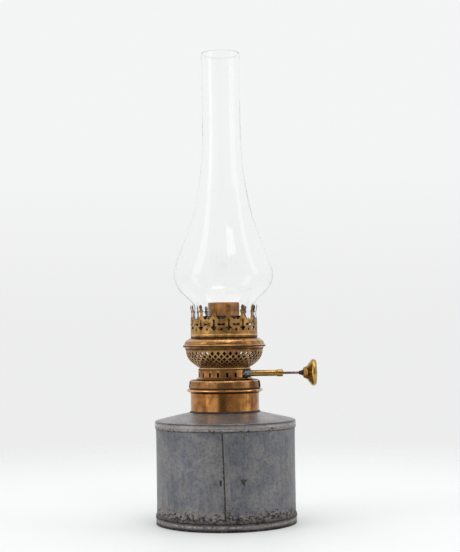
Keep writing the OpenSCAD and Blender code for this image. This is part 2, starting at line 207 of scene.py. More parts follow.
def tin(name, pale, blue, brown, foot_z, foot_depth, rough, crust, highlight_z,
        move=(0, 0, 0), dirt_and_shade_lines=(), shadow_below_z=0.0):
    """Oxidised tinplate: blue-grey clouds, upright runs and scratches, with stains and black crust that
    thicken towards foot_z. A painted highlight runs in a thin broken line at one given height. Below another
    given height the foot gets a painted contact shadow, and thin dark lines at listed heights are partly
    crust and partly painted shade."""
    material, tree, shader, where = start_material(name)
    at = mapped(tree, where, (1, 1, 1), move)
    stains = use_group(tree, tarnish, Vector=at, Patch_size=0.03, Speck_size=0.0014)
    worn = use_group(tree, wear, Vector=at, Amount=1.0)
    runs = noise_node(tree, mapped(tree, at, (1, 1, 0.14)), 260.0, 6.0, 0.66)
    flecks = noise_node(tree, at, 420.0, 5.0, 0.7)
    cloud = noise_node(tree, at, 46.0, 7.0, 0.66, 0.5)
    rust = noise_node(tree, mapped(tree, at, (1, 1, 0.7)), 240.0, 7.0, 0.72, 0.4)
    crumbs = noise_node(tree, mapped(tree, at, (1, 1, 1.5), (0.3, 0.1, 0)), 290.0, 6.0, 0.72)
    scratch = noise_node(tree, mapped(tree, at, (0.35, 0.35, 1.6)), 900.0, 2.0, 0.5)
    z = height_of(tree, where)
    low = between(tree, z, foot_z, foot_z + foot_depth, 1.0, 0.0)
    rusty = between(tree, plus(tree, times(tree, low, 0.26), rust), 0.56, 0.86)
    black = between(tree, plus(tree, times(tree, low, crust), crumbs), 0.64, 0.71)
    # Painted highlight: a thin broken bright line at one height
    painted_highlight = times(tree, line_at(tree, z, highlight_z, 0.0003, 0.0013, 1.0), between(tree, flecks, 0.4, 0.6))
    # Painted contact shadow below one height, plus thin dark lines that are partly crust and partly painted
    # shade
    filth_and_shadow = between(tree, z, shadow_below_z, shadow_below_z + 0.001, 1.0, 0.0)
    for height in dirt_and_shade_lines:
        filth_and_shadow = larger(tree, filth_and_shadow, line_at(tree, z, height, 0.0002, 0.0008, 0.85))
    colour = mix_colour(tree, between(tree, cloud, 0.36, 0.64), pale, blue)
    for mask, tone in (
        (between(tree, flecks, 0.42, 0.64, 0.0, 0.5), (0.072, 0.069, 0.071, 1)),
        (between(tree, runs, 0.5, 0.7, 0.0, 0.4), (0.06, 0.058, 0.062, 1)),
        (between(tree, runs, 0.3, 0.43, 0.4, 0.0), (0.25, 0.243, 0.245, 1)),
        (times(tree, rusty, 0.85), brown),
        (times(tree, black, 0.95), (0.014, 0.011, 0.009, 1)),
        (times(tree, worn["Dirt"], 0.75), (0.05, 0.042, 0.036, 1)),
        (times(tree, worn["Rubbed"], 0.4), (0.30, 0.29, 0.29, 1)),
        # the painted highlight line
        (times(tree, painted_highlight, between(tree, cloud, 0.4, 0.56, 0.25, 0.9)), (0.46, 0.42, 0.38, 1)),
        # the painted contact shadow and the dark lines
        (times(tree, filth_and_shadow, between(tree, flecks, 0.62, 0.45, 0.45, 1.0)), (0.012, 0.01, 0.009, 1)),
    ):
        colour = mix_colour(tree, mask, colour, tone)
    put(tree, colour, shader.inputs["Base Color"])
    shader.inputs["Specular IOR Level"].default_value = 0.25
    metal = math_node(tree, "SUBTRACT", 0.62, times(tree, rusty, 0.4))
    metal = math_node(tree, "SUBTRACT", metal, times(tree, black, 0.5), clamp=True)
    put(tree, metal, shader.inputs["Metallic"])
    dull = weighted(tree, ((rusty, 0.2), (stains["Patches"], 0.08)))
    put(tree, plus(tree, dull, rough), shader.inputs["Roughness"])
    bump(tree, shader, weighted(tree, (
        (stains["Grain"], 0.4), (rusty, 0.7), (black, -0.6), (scratch, 0.15),
    )), 0.4, 0.0002)
    return material


wall_tin = tin(
    "Wall_tin", (0.235, 0.229, 0.228, 1), (0.142, 0.151, 0.177, 1), (0.27, 0.225, 0.20, 1),
    foot_z=0.0085, foot_depth=0.017, rough=0.42, crust=0.19, highlight_z=0.2
)


def outward(co):
    """The level part of a place's vector, which points straight out from the lamp's axis."""
    return Vector((co.x, co.y, 0))


def spun(outline, steps):
    """A solid of revolution about Z from a closed outline. Points on the axis close at a pole."""
    bm = bmesh.new()
    verts = [bm.verts.new((r * MM, 0, z * MM)) for r, z in outline]
    edges = [bm.edges.new(pair) for pair in zip(verts, verts[1:] + verts[:1])]
    bmesh.ops.spin(bm, geom=verts + edges, cent=(0, 0, 0), axis=(0, 0, 1),
                   angle=2 * math.pi, steps=steps, use_merge=True)
    bmesh.ops.remove_doubles(bm, verts=bm.verts[:], dist=1e-7)
    bmesh.ops.dissolve_degenerate(bm, edges=bm.edges[:], dist=1e-8)
    bmesh.ops.recalc_face_normals(bm, faces=bm.faces[:])
    return bm


BEND_GAIN = 1.6
# The heights and radii where burner walls facing the axis get painted shade
INSIDE_SHADE_FROM_Z, INSIDE_SHADE_R = 0.118, (0.004, 0.04)


def mark_surface(bm):
    """Writes two values on the vertices. 'ridge' is above 0 where the surface is convex and below 0 in a
    hollow. The second is 1 where a wall of the burner faces the lamp's axis, for painted shade there."""
    ridge_layer = bm.verts.layers.float.new("ridge")
    inside_layer = bm.verts.layers.float.new("inside")
    bm.normal_update()
    for v in bm.verts:
        bend = [e.calc_face_angle_signed(0.0) for e in v.link_edges if len(e.link_faces) == 2]
        v[ridge_layer] = max(-1.0, min(1.0, BEND_GAIN * sum(bend) / max(len(bend), 1)))
        flat = outward(v.co)
        if INSIDE_SHADE_R[0] < flat.length < INSIDE_SHADE_R[1] and v.co.z > INSIDE_SHADE_FROM_Z:
            v[inside_layer] = max(0.0, min(1.0, (-v.normal.dot(flat.normalized()) - 0.2) * 2.5))


def finish_piece(name, bm, material, body, nodes, sharp=50):
    """Makes the object, shades it, parents it to its body's empty and hides the CAD parts it stands for."""
    mark_surface(bm)
    mesh = bpy.data.meshes.new(name)
    bm.to_mesh(mesh)
    bm.free()
    mesh.shade_smooth()
    mesh.set_sharp_from_angle(angle=math.radians(sharp))
    mesh.materials.append(material)
    piece = bpy.data.objects.new(name, mesh)
    bpy.context.collection.objects.link(piece)
    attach(piece, body)
    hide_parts(*nodes)
    return piece


WALL_R, WALL_LOW, WALL_TOP, WALL_T = 61.8, 0.62, 90.3, 0.55
LEVELS = 44
outline = [(WALL_R, WALL_LOW + (WALL_TOP - WALL_LOW) * i / LEVELS) for i in range(LEVELS + 1)]
bm = spun(outline + [(WALL_R - WALL_T, z) for z in (WALL_TOP, 45, WALL_LOW)], 200)
for v in bm.verts:
    z = v.co.z / MM
    free = max(0.0, min(1.0, (z - 9) / 8)) * max(0.0, min(1.0, (83 - z) / 6))
    inward = noise.noise(Vector((v.co.x, v.co.y, v.co.z * 0.7)) / 0.03) * 0.14 - 0.12
    v.co += outward(v.co).normalized() * inward * free * MM
finish_piece("Tank_wall", bm, wall_tin, "tank", ["tank_wall"])

# ------------------------ side seam
# The wall's edges lap in a narrow strip up the front, pressed flat and soldered. A thin uneven line of old
# black solder runs down its left edge.
seam_tin = tin(
    "Seam_tin", (0.26, 0.25, 0.245, 1), (0.17, 0.172, 0.185, 1), (0.13, 0.10, 0.085, 1),
    foot_z=0.007, foot_depth=0.03, rough=0.36, crust=0.2, highlight_z=0.2, move=(0.11, 0, 0)
)


def plain(name, one, two, dark, rough, metallic, size=0.003):
    """A mottled material with a lumpy surface, for solder, steel wire and leather."""
    material, tree, shader, where = start_material(name)
    stains = use_group(tree, tarnish, Vector=where, Patch_size=size, Speck_size=size * 0.25)
    worn = use_group(tree, wear, Vector=where, Amount=0.8)
    colour = mix_colour(tree, stains["Patches"], one, two)
    colour = mix_colour(tree, times(tree, stains["Specks"], 0.7), colour, dark)
    put(tree, mix_colour(tree, worn["Dirt"], colour, dark), shader.inputs["Base Color"])
    shader.inputs["Metallic"].default_value = metallic
    put(tree, plus(tree, times(tree, stains["Patches"], 0.15), rough), shader.inputs["Roughness"])
    bump(tree, shader, plus(tree, times(tree, stains["Patches"], 0.5), stains["Grain"]), 0.5, 0.0003)
    return material


black_solder = plain(
    "Black_solder", (0.04, 0.032, 0.027, 1), (0.018, 0.014, 0.012, 1), (0.009, 0.008, 0.007, 1), 0.5, 0.4
)

SEAM_LOW, SEAM_TOP = 8.7, 83.6


def strip_up_wall(rows, ring_at):
    """A closed strip up the wall. ring_at gives the (x, y) points round the strip at a height."""
    bm = bmesh.new()
    heights = [SEAM_LOW + (SEAM_TOP - SEAM_LOW) * i / rows for i in range(rows + 1)]
    rings = [[bm.verts.new((x * MM, y * MM, z * MM)) for x, y in ring_at(z)] for z in heights]
    for a, b in zip(rings, rings[1:]):
        for k in range(len(a)):
            after = (k + 1) % len(a)
            bm.faces.new((a[k], a[after], b[after], b[k]))
    bm.faces.new(rings[0][::-1])
    bm.faces.new(rings[-1])
    bmesh.ops.recalc_face_normals(bm, faces=bm.faces[:])
    return bm


def seam_sway(z):
    """How far the seam leans and wanders to the side at a height."""
    return 0.16 * noise.noise(Vector((0, 0, z / 9))) + (46 - z) / 37


def lap_ring(z):
    across = [(-1.25, 61.7), (-1.05, 62.18), (-0.2, 62.28), (2.0, 62.24), (3.1, 62.14), (3.45, 61.7)]
    return [(x + seam_sway(z), -math.sqrt(r * r - x * x)) for x, r in across]


def solder_line_ring(z):
    wide = 0.9 + 0.6 * noise.noise(Vector((5, 0, z / 2.5))) + 0.7 * max(0.0, (30 - z) / 30)
    ring = []
    for k, lift in ((-1.0, 0.0), (-0.5, 0.32), (0.4, 0.36), (0.8, 0.05)):
        x, r = -1.35 + seam_sway(z) + k * wide, 61.72 + lift
        ring.append((x, -math.sqrt(r * r - x * x)))
    return ring


finish_piece("Side_seam", strip_up_wall(24, lap_ring), seam_tin, "tank", ["tank_wall"], 35)
finish_piece("Side_seam_solder", strip_up_wall(60, solder_line_ring), black_solder, "tank",
             ["tank_wall"])

# ------------------------ flakes beside the seam
# Two small flakes of old solder and flux left on the wall: an upright dash on the left and a ragged
# triangle on the right.
flux = plain(
    "Old_flux", (0.06, 0.047, 0.04, 1), (0.03, 0.023, 0.02, 1), (0.014, 0.011, 0.01, 1), 0.5, 0.2
)


def face_outwards(bm):
    """Gives an open sheet round the lamp normals that point away from the axis."""
    bmesh.ops.recalc_face_normals(bm, faces=bm.faces[:])
    if sum(f.normal.dot(outward(f.calc_center_median())) for f in bm.faces) < 0:
        bmesh.ops.reverse_faces(bm, faces=bm.faces[:])


def backed(bm, t):
    """Turns an open sheet with outward normals into a closed one, t millimetres thick on its inner side."""
    bm.normal_update()
    places = {v: v.co - v.normal * t * MM for v in bm.verts}
    bmesh.ops.extrude_face_region(bm, geom=bm.faces[:])
    for v, place in places.items():
        v.co = place
    bmesh.ops.recalc_face_normals(bm, faces=bm.faces[:])


dash = [(-0.8, 2.4), (0.7, 2.1), (0.95, 0.6), (0.6, -1.2), (0.8, -2.3), (-0.3, -2.5), (-0.9, -0.9)]
triangle = [
    (-3.0, 2.6), (-1.6, 2.2), (-0.6, 2.7), (1.4, 2.3), (2.9, 2.7), (2.3, 1.2), (1.3, 0.2), (0.9, -1.5),
    (0.1, -2.9), (-0.6, -1.6), (-1.6, -0.4), (-2.2, 1.1),
]
FLAKE_SIZE = 1.1
for name, middle_x, middle_z, outline, material in (
    ("Wall_flake_left", -4.6, 41.8, dash, black_solder),
    ("Wall_flake_right", 15.0, 42.0, triangle, flux),
):
    bm = bmesh.new()
    rim = [bm.verts.new((x * FLAKE_SIZE * MM, 0, z * FLAKE_SIZE * MM)) for x, z in outline]
    bm.faces.new(rim)
    bmesh.ops.inset_region(bm, faces=bm.faces[:], thickness=0.00025)
    for v in bm.verts:
        x, z = v.co.x / MM + middle_x, v.co.z / MM + middle_z
        r = 61.76 if v in rim else 62.0 + 0.04 * noise.noise(Vector((x, z, 0)))
        v.co = Vector((x, -math.sqrt(r * r - x * x), z)) * MM
    face_outwards(bm)
    backed(bm, 0.12)
    finish_piece(name, bm, material, "tank", ["tank_wall"])

# ------------------------ tank bottom
# A shallow tinplate pan pressed over the wall, its rim beaded and hemmed outwards and soldered all round.
# Rust has bitten into its edges.
# The hem gets a painted highlight line at 4.3 mm and a painted contact shadow below 1.7 mm; the dark line at
# 6.8 mm is crust.
pan_tin = tin(
    "Pan_tin", (0.22, 0.205, 0.195, 1), (0.10, 0.095, 0.098, 1), (0.11, 0.083, 0.068, 1),
    foot_z=0.0078, foot_depth=-0.0026, rough=0.4, crust=0.36, highlight_z=0.0043, move=(0.07, 0, 0),
    dirt_and_shade_lines=(0.0068,), shadow_below_z=0.0017
)


def filleted(points, size, steps=3):
    """The closed outline with each corner rounded, and a support point where a straight side begins."""
    out = []
    for i, p in enumerate(points):
        here, before, after = Vector(p), Vector(points[i - 1]), Vector(points[(i + 1) % len(points)])
        a, b = before - here, after - here
        turn = math.pi - a.angle(b)
        if turn < 0.14:
            out.append(here[:])
            continue
        cut = min(size * math.tan(turn / 2), 0.42 * a.length, 0.42 * b.length)
        lead_a, lead_b = min(0.3, 0.2 * a.length), min(0.3, 0.2 * b.length)
        start, end = here + a.normalized() * cut, here + b.normalized() * cut
        out.append((start + a.normalized() * lead_a)[:])
        for k in range(steps + 1):
            t = k / steps
            out.append(((1 - t) ** 2 * start + 2 * t * (1 - t) * here + t * t * end)[:])
        out.append((end + b.normalized() * lead_b)[:])
    return out


pan = [
    (0, 0.25), (30, 0.22), (55, 0.12), (60.2, 0), (62.3, 0), (62.6, 0.3), (62.6, 2.4), (62.72, 2.9),
    (62.6, 3.4), (62.6, 5.4), (62.95, 5.7), (63.05, 6.5), (62.7, 7.3), (62.0, 7.45), (62.0, 0.6), (30, 0.8),
    (0, 0.85),
]
PAN_RIM_R, BASE_Z = 62.2, 0.4
bm = spun(filleted(pan, 0.25), 180)
for v in bm.verts:
    flat = outward(v.co)
    if flat.length > PAN_RIM_R * MM and v.co.z > BASE_Z * MM:
        bite = 0.16 * noise.noise(v.co / 0.0045) + 0.12 * noise.noise(v.co / 0.0016) - 0.16
        v.co += flat.normalized() * min(bite, 0.0) * MM
        v.co.z += 0.12 * noise.noise(v.co / 0.006) * MM * min(1, max(0, (v.co.z - 0.001) / 0.002))
finish_piece("Tank_bottom_pan", bm, pan_tin, "tank", ["tank_bottom_pan"])

# ------------------------ tank cover
# A low tinplate cone with its own beaded skirt, pressed over the wall and soldered below. A short neck in
# its middle takes the collar.
# The skirt gets a painted highlight band at 88.2 mm and a painted shade line at 90.5 mm under the shoulder.
cover_tin = tin(
    "Cover_tin", (0.33, 0.306, 0.295, 1), (0.21, 0.205, 0.218, 1), (0.26, 0.215, 0.19, 1),
    foot_z=0.083, foot_depth=0.0075, rough=0.27, crust=0.165, highlight_z=0.0882, move=(0.02, 0.05, 0),
    dirt_and_shade_lines=(0.0905,)
)


def thickened(path, t):
    """A closed outline from an open path: the path, and back along its left side at distance t."""
    other = []
    for i, p in enumerate(path):
        sides = []
        for a, b in ((i - 1, i), (i, i + 1)):
            if a >= 0 and b < len(path):
                d = (Vector(path[b]) - Vector(path[a])).normalized()
                sides.append(Vector((-d.y, d.x)))
        n = sides[0] if len(sides) == 1 else (sides[0] + sides[1]) / (1 + sides[0].dot(sides[1]))
        other.append((Vector(p) + n * t)[:])
    return list(path) + other[::-1]


COVER_R, COVER_T, CONE_R, NECK_R = 62.5, 0.55, 61.2, 34
r = COVER_R
cover_path = [
    (r, 84.9), (r + 0.22, 85.3), (r + 0.22, 86.1), (r - 0.02, 86.5), (r - 0.02, 87.6), (r + 0.12, 87.9),
    (r + 0.12, 88.4), (r - 0.02, 88.7), (r - 0.05, 90.4), (r - 0.5, 91.15), (r - 2, 91.75), (55, 93.1),
    (48, 94.65), (42, 96.05), (36, 97.35), (33, 97.95), (30.55, 98.4), (29.95, 98.9), (29.95, 102.4),
]
bm = spun(filleted(thickened(cover_path, COVER_T), 0.2), 200)
for v in bm.verts:
    flat = outward(v.co)
    if flat.length > CONE_R * MM:
        v.co += flat.normalized() * 0.13 * noise.noise(v.co / 0.007) * MM
    elif flat.length > NECK_R * MM:
        v.co.z += 0.22 * (noise.noise(v.co / 0.022) - 0.35) * MM
finish_piece("Tank_cover", bm, cover_tin, "tank", ["tank_top_cover"])

# ------------------------ solder beads
# Soft solder run by hand along the tank's joints and the collar's foot: uneven beads with gaps, lumps and
# drips, gone black with age.
solder = plain(
    "Solder", (0.12, 0.10, 0.087, 1), (0.016, 0.012, 0.01, 1), (0.009, 0.007, 0.006, 1), 0.45, 0.4, 0.004
)


def solder_ring(name, outline, amount, size, material, node):
    bm = spun(outline, 260)
    back_r = min(r for r, z in outline) * MM + 1e-5
    for v in bm.verts:
        flat = outward(v.co)
        swell = amount * (noise.noise(v.co / (size * MM)) + 0.4 * noise.noise(v.co / (size * 0.35 * MM)))
        if flat.length > back_r:
            v.co += flat.normalized() * swell * MM
            v.co.z += swell * 0.8 * MM
    finish_piece(name, bm, material, "tank", [node])


solder_ring("Bottom_solder", [
    (61.7, 4), (62.0, 4), (62.0, 7.45), (62.55, 7.5), (62.6, 7.9), (62.35, 8.4), (62.0, 9.0), (61.7, 9.6),
], 0.5, 2.6, solder, "bottom_solder")
solder_ring("Cover_solder", [
    (61.7, 84.0), (61.95, 84.0), (62.25, 84.3), (62.42, 84.75), (62.3, 85.1), (61.95, 85.1), (61.95, 87.8),
    (61.7, 87.8),
], 0.1, 2.6, solder, "cover_solder")
solder_ring("Collar_solder", [
    (30.4, 98.6), (30.95, 98.5), (31.5, 98.42), (31.45, 98.62), (31.05, 98.95), (30.8, 99.35), (30.62, 99.8),
    (30.4, 99.8),
], 0.07, 2.2, black_solder, "collar_solder")

# ------------------------ collar
# A short brass tube soldered into the cover, its upper end rolled out to a thin lip. Handling has kept it
# brighter than the rest.

# Turning lines: fine rings round the lamp's own axis, as spinning and burnishing leave them
turning, l_in, l_out = new_group("Turning lines", [("Vector", VECTOR, None)], [("Lines", NUMBER)])
split = turning.nodes.new("ShaderNodeSeparateXYZ")
turning.links.new(l_in.outputs["Vector"], split.inputs[0])
x, y, z = split.outputs
radius = math_node(turning, "SQRT", plus(turning, times(turning, x, x), times(turning, y, y)))
joined = turning.nodes.new("ShaderNodeCombineXYZ")
for socket, value, scale in zip(joined.inputs, (radius, x, z), (2600.0, 40.0, 2600.0)):
    put(turning, times(turning, value, scale), socket)
turning.links.new(noise_node(turning, joined.outputs[0], 1.0, 3.0, 0.6), l_out.inputs["Lines"])

# Near black for soot and scorching, and also for the painted shade inside the burner and in lines under rims
SOOT_AND_SHADE = (0.013, 0.009, 0.007, 1)


def brass(name, bright, brown, dark, rough, patch=0.012, lines=0.35, streaks=0.55, metal=1.0,
          dirt_and_shade_lines=(), highlight_lines=(), soot_z=None, scorch_z=None):
    """Aged brass: brown patches and dark specks over bright metal, rubbed ridges and dirty hollows. Walls
    facing the lamp's axis and thin lines at the listed heights get painted shade, and it is sooty below
    soot_z.
    Painted highlights run in broken lines at other listed heights, and it is scorched in patches above
    scorch_z."""
    material, tree, shader, where = start_material(name)
    stains = use_group(tree, tarnish, Vector=where, Patch_size=patch, Speck_size=0.0011)
    worn = use_group(tree, wear, Vector=where, Amount=1.0)
    rings = use_group(tree, turning, Vector=where)
    streak = noise_node(tree, mapped(tree, where, (1, 1, 0.16)), 130.0, 4.0, 0.6)
    z = height_of(tree, where)
    colour = mix_colour(tree, stains["Patches"], bright, brown)
    for mask, tone in (
        (between(tree, streak, 0.5, 0.72, 0.0, streaks), dark),
        (times(tree, stains["Specks"], 0.6), dark),
        (times(tree, worn["Rubbed"], 0.55), bright),
        (times(tree, worn["Dirt"], 0.85), dark),
    ):
        colour = mix_colour(tree, mask, colour, tone)
    # Painted highlights: bright broken lines at the listed heights
    highlight_colour = tuple(min(1.0, 1.6 * c + 0.05) for c in bright[:3]) + (1,)
    for height in highlight_lines:
        line = line_at(tree, z, height, 0.0002, 0.0007, 0.85)
        line = times(tree, line, between(tree, streak, 0.66, 0.5, 0.4, 1.0))
        colour = mix_colour(tree, line, colour, highlight_colour)
    # Painted shade on walls facing the axis and in thin lines under rims, with real soot low down and scorch
    # high up
    soot_and_shade = worn["Inside"]
    for height in dirt_and_shade_lines:
        soot_and_shade = larger(tree, soot_and_shade, line_at(tree, z, height, 0.0003, 0.0008, 0.95))
    if soot_z:
        soot_and_shade = larger(tree, soot_and_shade, between(tree, z, soot_z, soot_z + 0.008, 1.0, 0.0))
    if scorch_z:
        high = between(tree, z, scorch_z, scorch_z + 0.006, 0.0, 0.75)
        soot_and_shade = larger(tree, soot_and_shade, times(tree, high, between(tree, streak, 0.35, 0.6, 0.5, 1.0)))
    put(tree, mix_colour(tree, times(tree, soot_and_shade, 0.9), colour, SOOT_AND_SHADE), shader.inputs["Base Color"])
    shader.inputs["Metallic"].default_value = metal
    shader.inputs["Specular IOR Level"].default_value = 0.2
    dull = weighted(tree, (
        (stains["Specks"], 0.2), (stains["Patches"], 0.1), (worn["Dirt"], 0.3), (soot_and_shade, 0.3),
    ))
    put(tree, math_node(tree, "ADD", dull, rough, clamp=True), shader.inputs["Roughness"])
    bump(tree, shader, weighted(tree, (
        (rings["Lines"], lines), (stains["Grain"], 0.35), (stains["Specks"], -0.3),
    )), 0.35, 0.00012)
    return material


# Thin painted shade lines at the foot and under the lip, and a painted highlight along the lip
collar_brass = brass(
    "Collar_brass", (0.54, 0.245, 0.072, 1), (0.25, 0.10, 0.03, 1), (0.06, 0.024, 0.009, 1), rough=0.15,
    patch=0.013, lines=0.25, streaks=0.6, dirt_and_shade_lines=(0.0989, 0.1157), highlight_lines=(0.1178,)
)

collar = [
    (30.0, 98.95), (30.45, 98.95), (30.45, 106), (30.42, 112), (30.45, 115.2), (31.1, 115.95),
    (32.6, 116.35), (33.45, 116.9), (33.85, 117.55), (33.65, 118.35), (32.9, 118.85), (31.6, 119.2),
    (30.0, 119.2), (30.0, 109),
]
COLLAR_LIP_Z = 115.5
bm = spun(filleted(collar, 0.22), 180)
for v in bm.verts:
    if v.co.z > COLLAR_LIP_Z * MM:
        v.co.z += 0.1 * noise.noise(v.co / 0.014) * MM
finish_piece("Collar", bm, collar_brass, "tank", ["collar"])

# ------------------------ burner cup
# The lowest part of the burner: a spun brass cap with a rounded shoulder. A notch is cut in its
# skirt at each side for the spanner that tightens the burner.
# Thin painted shade lines under the rims and flares from the cup to the cowl, and painted highlight lines on
# the cup, the neck's flare and the cowl
old_brass = brass(
    "Old_brass", (0.46, 0.23, 0.074, 1), (0.19, 0.08, 0.03, 1), (0.032, 0.015, 0.008, 1), rough=0.2,
    patch=0.010, streaks=0.6, metal=0.8,
    dirt_and_shade_lines=(0.1197, 0.1273, 0.1363, 0.1543, 0.1569, 0.1641), highlight_lines=(0.1262, 0.1279, 0.1574, 0.1618)
)


def flowing(points, steps):
    """A smooth open curve through the points, by Catmull-Rom."""
    pts = [Vector(p) for p in points]
    pts = [2 * pts[0] - pts[1]] + pts + [2 * pts[-1] - pts[-2]]
    out = []
    for a, b, c, d in zip(pts, pts[1:], pts[2:], pts[3:]):
        for k in range(steps):
            t = k / steps
            out.append((0.5 * (2 * b + (c - a) * t + (2 * a - 5 * b + 4 * c - d) * t * t
                               + (3 * b - a - 3 * c + d) * t ** 3))[:])
    return out + [pts[-2][:]]


cup_path = flowing([(31.9, 119.95), (31.85, 121), (31.6, 123.2), (31.45, 124.6)], 3) + flowing([
    (31.35, 125.1), (30.9, 126.1), (30.1, 126.75), (28.9, 127), (24.5, 127), (20.5, 127)], 4)
bm = spun(filleted(thickened(cup_path, 0.5), 0.12, 2), 180)
for side, wide in ((77, 7.5), (-80, 5.5)):
    to_front = Matrix.Rotation(math.radians(side), 3, "Z").inverted()
    gone = []
    for f in bm.faces:
        here = f.calc_center_median()
        seen = to_front @ here
        in_skirt = 120.4 * MM < seen.z < 126.0 * MM and Vector(here[:2]).length > 30.2 * MM
        if in_skirt and seen.y < 0 and abs(seen.x) < wide / 2 * MM:
            gone.append(f)
    bmesh.ops.delete(bm, geom=gone, context="FACES")
for right in (True, False):
    bmesh.ops.bridge_loops(bm, edges=[
        e for e in bm.edges if e.is_boundary and (e.verts[0].co.x > 0) == right
    ])
bmesh.ops.recalc_face_normals(bm, faces=bm.faces[:])
finish_piece("Burner_cup", bm, old_brass, "burner", ["burner_cup"])

# ------------------------ slotted neck
# A short pierced brass band that lets the first air in. Its eighteen slots leave a wider gap where the
# sleeve enters.
neck_path = [
    (23.9, 127.02), (23.9, 127.55), (25.15, 127.75), (25.2, 128.05), (24.9, 128.4), (24.2, 128.75),
    (23.65, 129.05), (23.4, 129.5), (23.4, 130.5), (23.4, 131.5), (23.4, 132.5), (23.4, 133.5),
    (23.4, 134.5), (23.4, 135.6), (23.4, 136.4),
]
FIRST_SLOT, SLOT_STEP, SLOTS = 44, 19.4, 18
SLOT_LOW, SLOT_TOP, SLOT_HALF, SLOT_REACH = 129.5, 133.5, 2.4, 5
slot_angles = [FIRST_SLOT - i * SLOT_STEP for i in range(SLOTS)]


def bearing_off(co, angle):
    """Degrees round the lamp between a place and an angle, which is counted from the front towards +X."""
    return abs((math.degrees(math.atan2(co.x, -co.y)) - angle + 180) % 360 - 180)


bm = spun(thickened(neck_path, 0.5), 360)
gone = []
for f in bm.faces:
    c = f.calc_center_median()
    if SLOT_LOW * MM < c.z < SLOT_TOP * MM and min(bearing_off(c, a) for a in slot_angles) < SLOT_HALF:
        gone.append(f)
bmesh.ops.delete(bm, geom=gone, context="FACES")
for a in slot_angles:
    bmesh.ops.bridge_loops(bm, edges=[
        e for e in bm.edges if e.is_boundary and bearing_off(e.verts[0].co, a) < SLOT_REACH
    ])
bmesh.ops.recalc_face_normals(bm, faces=bm.faces[:])
finish_piece("Slotted_neck", bm, old_brass, "burner", ["slotted_neck"])

# ------------------------ basket foot ring
# A turned ring of yellower brass that the basket stands on. Its thin inner shield hides the works and is
# painted black as shade.
# A painted shade line under the gallery's bead, and painted highlight lines on the bead and the foot ring
yellow_brass = brass(
    "Yellow_brass", (0.50, 0.27, 0.082, 1), (0.23, 0.11, 0.035, 1), (0.045, 0.024, 0.009, 1), rough=0.3,
    patch=0.006, streaks=0.5, metal=0.58, dirt_and_shade_lines=(0.1645,), highlight_lines=(0.1669, 0.1372), scorch_z=0.184
)

SHIELD_Z = 137.9
foot = [
    (20.9, 136.42), (22.5, 136.42), (22.85, 136.7), (22.9, 137.1), (22.85, 137.5), (22.5, 137.78),
    (21.2, 137.78), (20.95, 143), (20.7, 148.28), (20.32, 148.28), (20.5, 144), (20.78, 138),
]
foot_ring = finish_piece("Basket_foot_ring", spun(filleted(foot, 0.2), 120), yellow_brass, "burner",
                         ["basket_foot_ring"])
# The shield above SHIELD_Z is painted black all over as shade
for v, mark in zip(foot_ring.data.vertices, foot_ring.data.attributes["inside"].data):
    if v.co.z > SHIELD_Z * MM:
        mark.value = 1.0

# ------------------------ basket
# A brass bowl pierced with rows of diamonds, which makes a lattice of crossing bars. A plain band joins it
# to its foot, and above it ends in a flat rim.
# A painted shade line under the basket's rim
lattice_brass = brass(
    "Lattice_brass", (0.44, 0.255, 0.095, 1), (0.22, 0.105, 0.045, 1), (0.045, 0.022, 0.011, 1), rough=0.28,
    patch=0.009, metal=0.8, dirt_and_shade_lines=(0.1536,)
)


def radius_at(line, z):
    """The radius at a height of a profile of (radius, height) points. It runs on upright past both ends."""
    for (r0, z0), (r1, z1) in zip(line, line[1:]):
        if z <= z1:
            return r0 + (r1 - r0) * max(0.0, (z - z0) / (z1 - z0))
    return line[-1][0]


bowl = flowing([
    (22.6, 137.9), (24.7, 139.2), (26.9, 140.8), (29.1, 142.5), (31.0, 144.4), (32.3, 146.3), (33.3, 148.2),
    (33.8, 150), (34.1, 151.7), (34.35, 153.2), (34.5, 154.2),
], 6)
COLUMNS, FIRST_HOLE_Z, TOP_ROW_Z = 40, 138.9, 149.5
rows = [153.2, 147.6, 142.8, 139.7, 138.2]
bm = bmesh.new()
verts = [bm.verts.new((0, -radius_at(bowl, z) * MM, z * MM)) for z in rows]
edges = [bm.edges.new(pair) for pair in zip(verts, verts[1:])]
bmesh.ops.spin(bm, geom=verts + edges, cent=(0, 0, 0), axis=(0, 0, 1),
               angle=2 * math.pi, steps=COLUMNS, use_merge=True)
bmesh.ops.remove_doubles(bm, verts=bm.verts[:], dist=1e-7)

# Each face is split to its middle and its old sides are dissolved, which leaves a net of diamonds
grid_edges = [e for e in bm.edges if not e.is_boundary]
bmesh.ops.poke(bm, faces=bm.faces[:])
bmesh.ops.dissolve_edges(bm, edges=[e for e in grid_edges if e.is_valid], use_verts=False)
for v in bm.verts:
    v.co = outward(v.co).normalized() * radius_at(bowl, v.co.z / MM) * MM + Vector((0, 0, v.co.z))
diamonds = [f for f in bm.faces if len(f.verts) == 4 and f.calc_center_median().z > FIRST_HOLE_Z * MM]
bmesh.ops.inset_individual(bm, faces=diamonds, thickness=0.0004)
for f in diamonds:
    middle = f.calc_center_median()
    across = Vector((-middle.y, middle.x, 0)).normalized()
    wide_share, tall_share = (0.6, 0.76) if middle.z > TOP_ROW_Z * MM else (0.66, 0.68)
    for v in f.verts:
        outer = next(e.other_vert(v) for e in v.link_edges if e.other_vert(v) not in f.verts[:])
        side = abs((outer.co - middle).normalized().dot(across))
        v.co = middle + (outer.co - middle) * (wide_share * side + tall_share * (1 - side))
bmesh.ops.delete(bm, geom=diamonds, context="FACES")
face_outwards(bm)
backed(bm, 0.5)
lattice = finish_piece("Basket_lattice", bm, lattice_brass, "burner", ["pierced_basket"], 60)
soft_edge = lattice.modifiers.new("Edges", "BEVEL")
soft_edge.width, soft_edge.segments, soft_edge.limit_method = 0.0001, 1, "ANGLE"

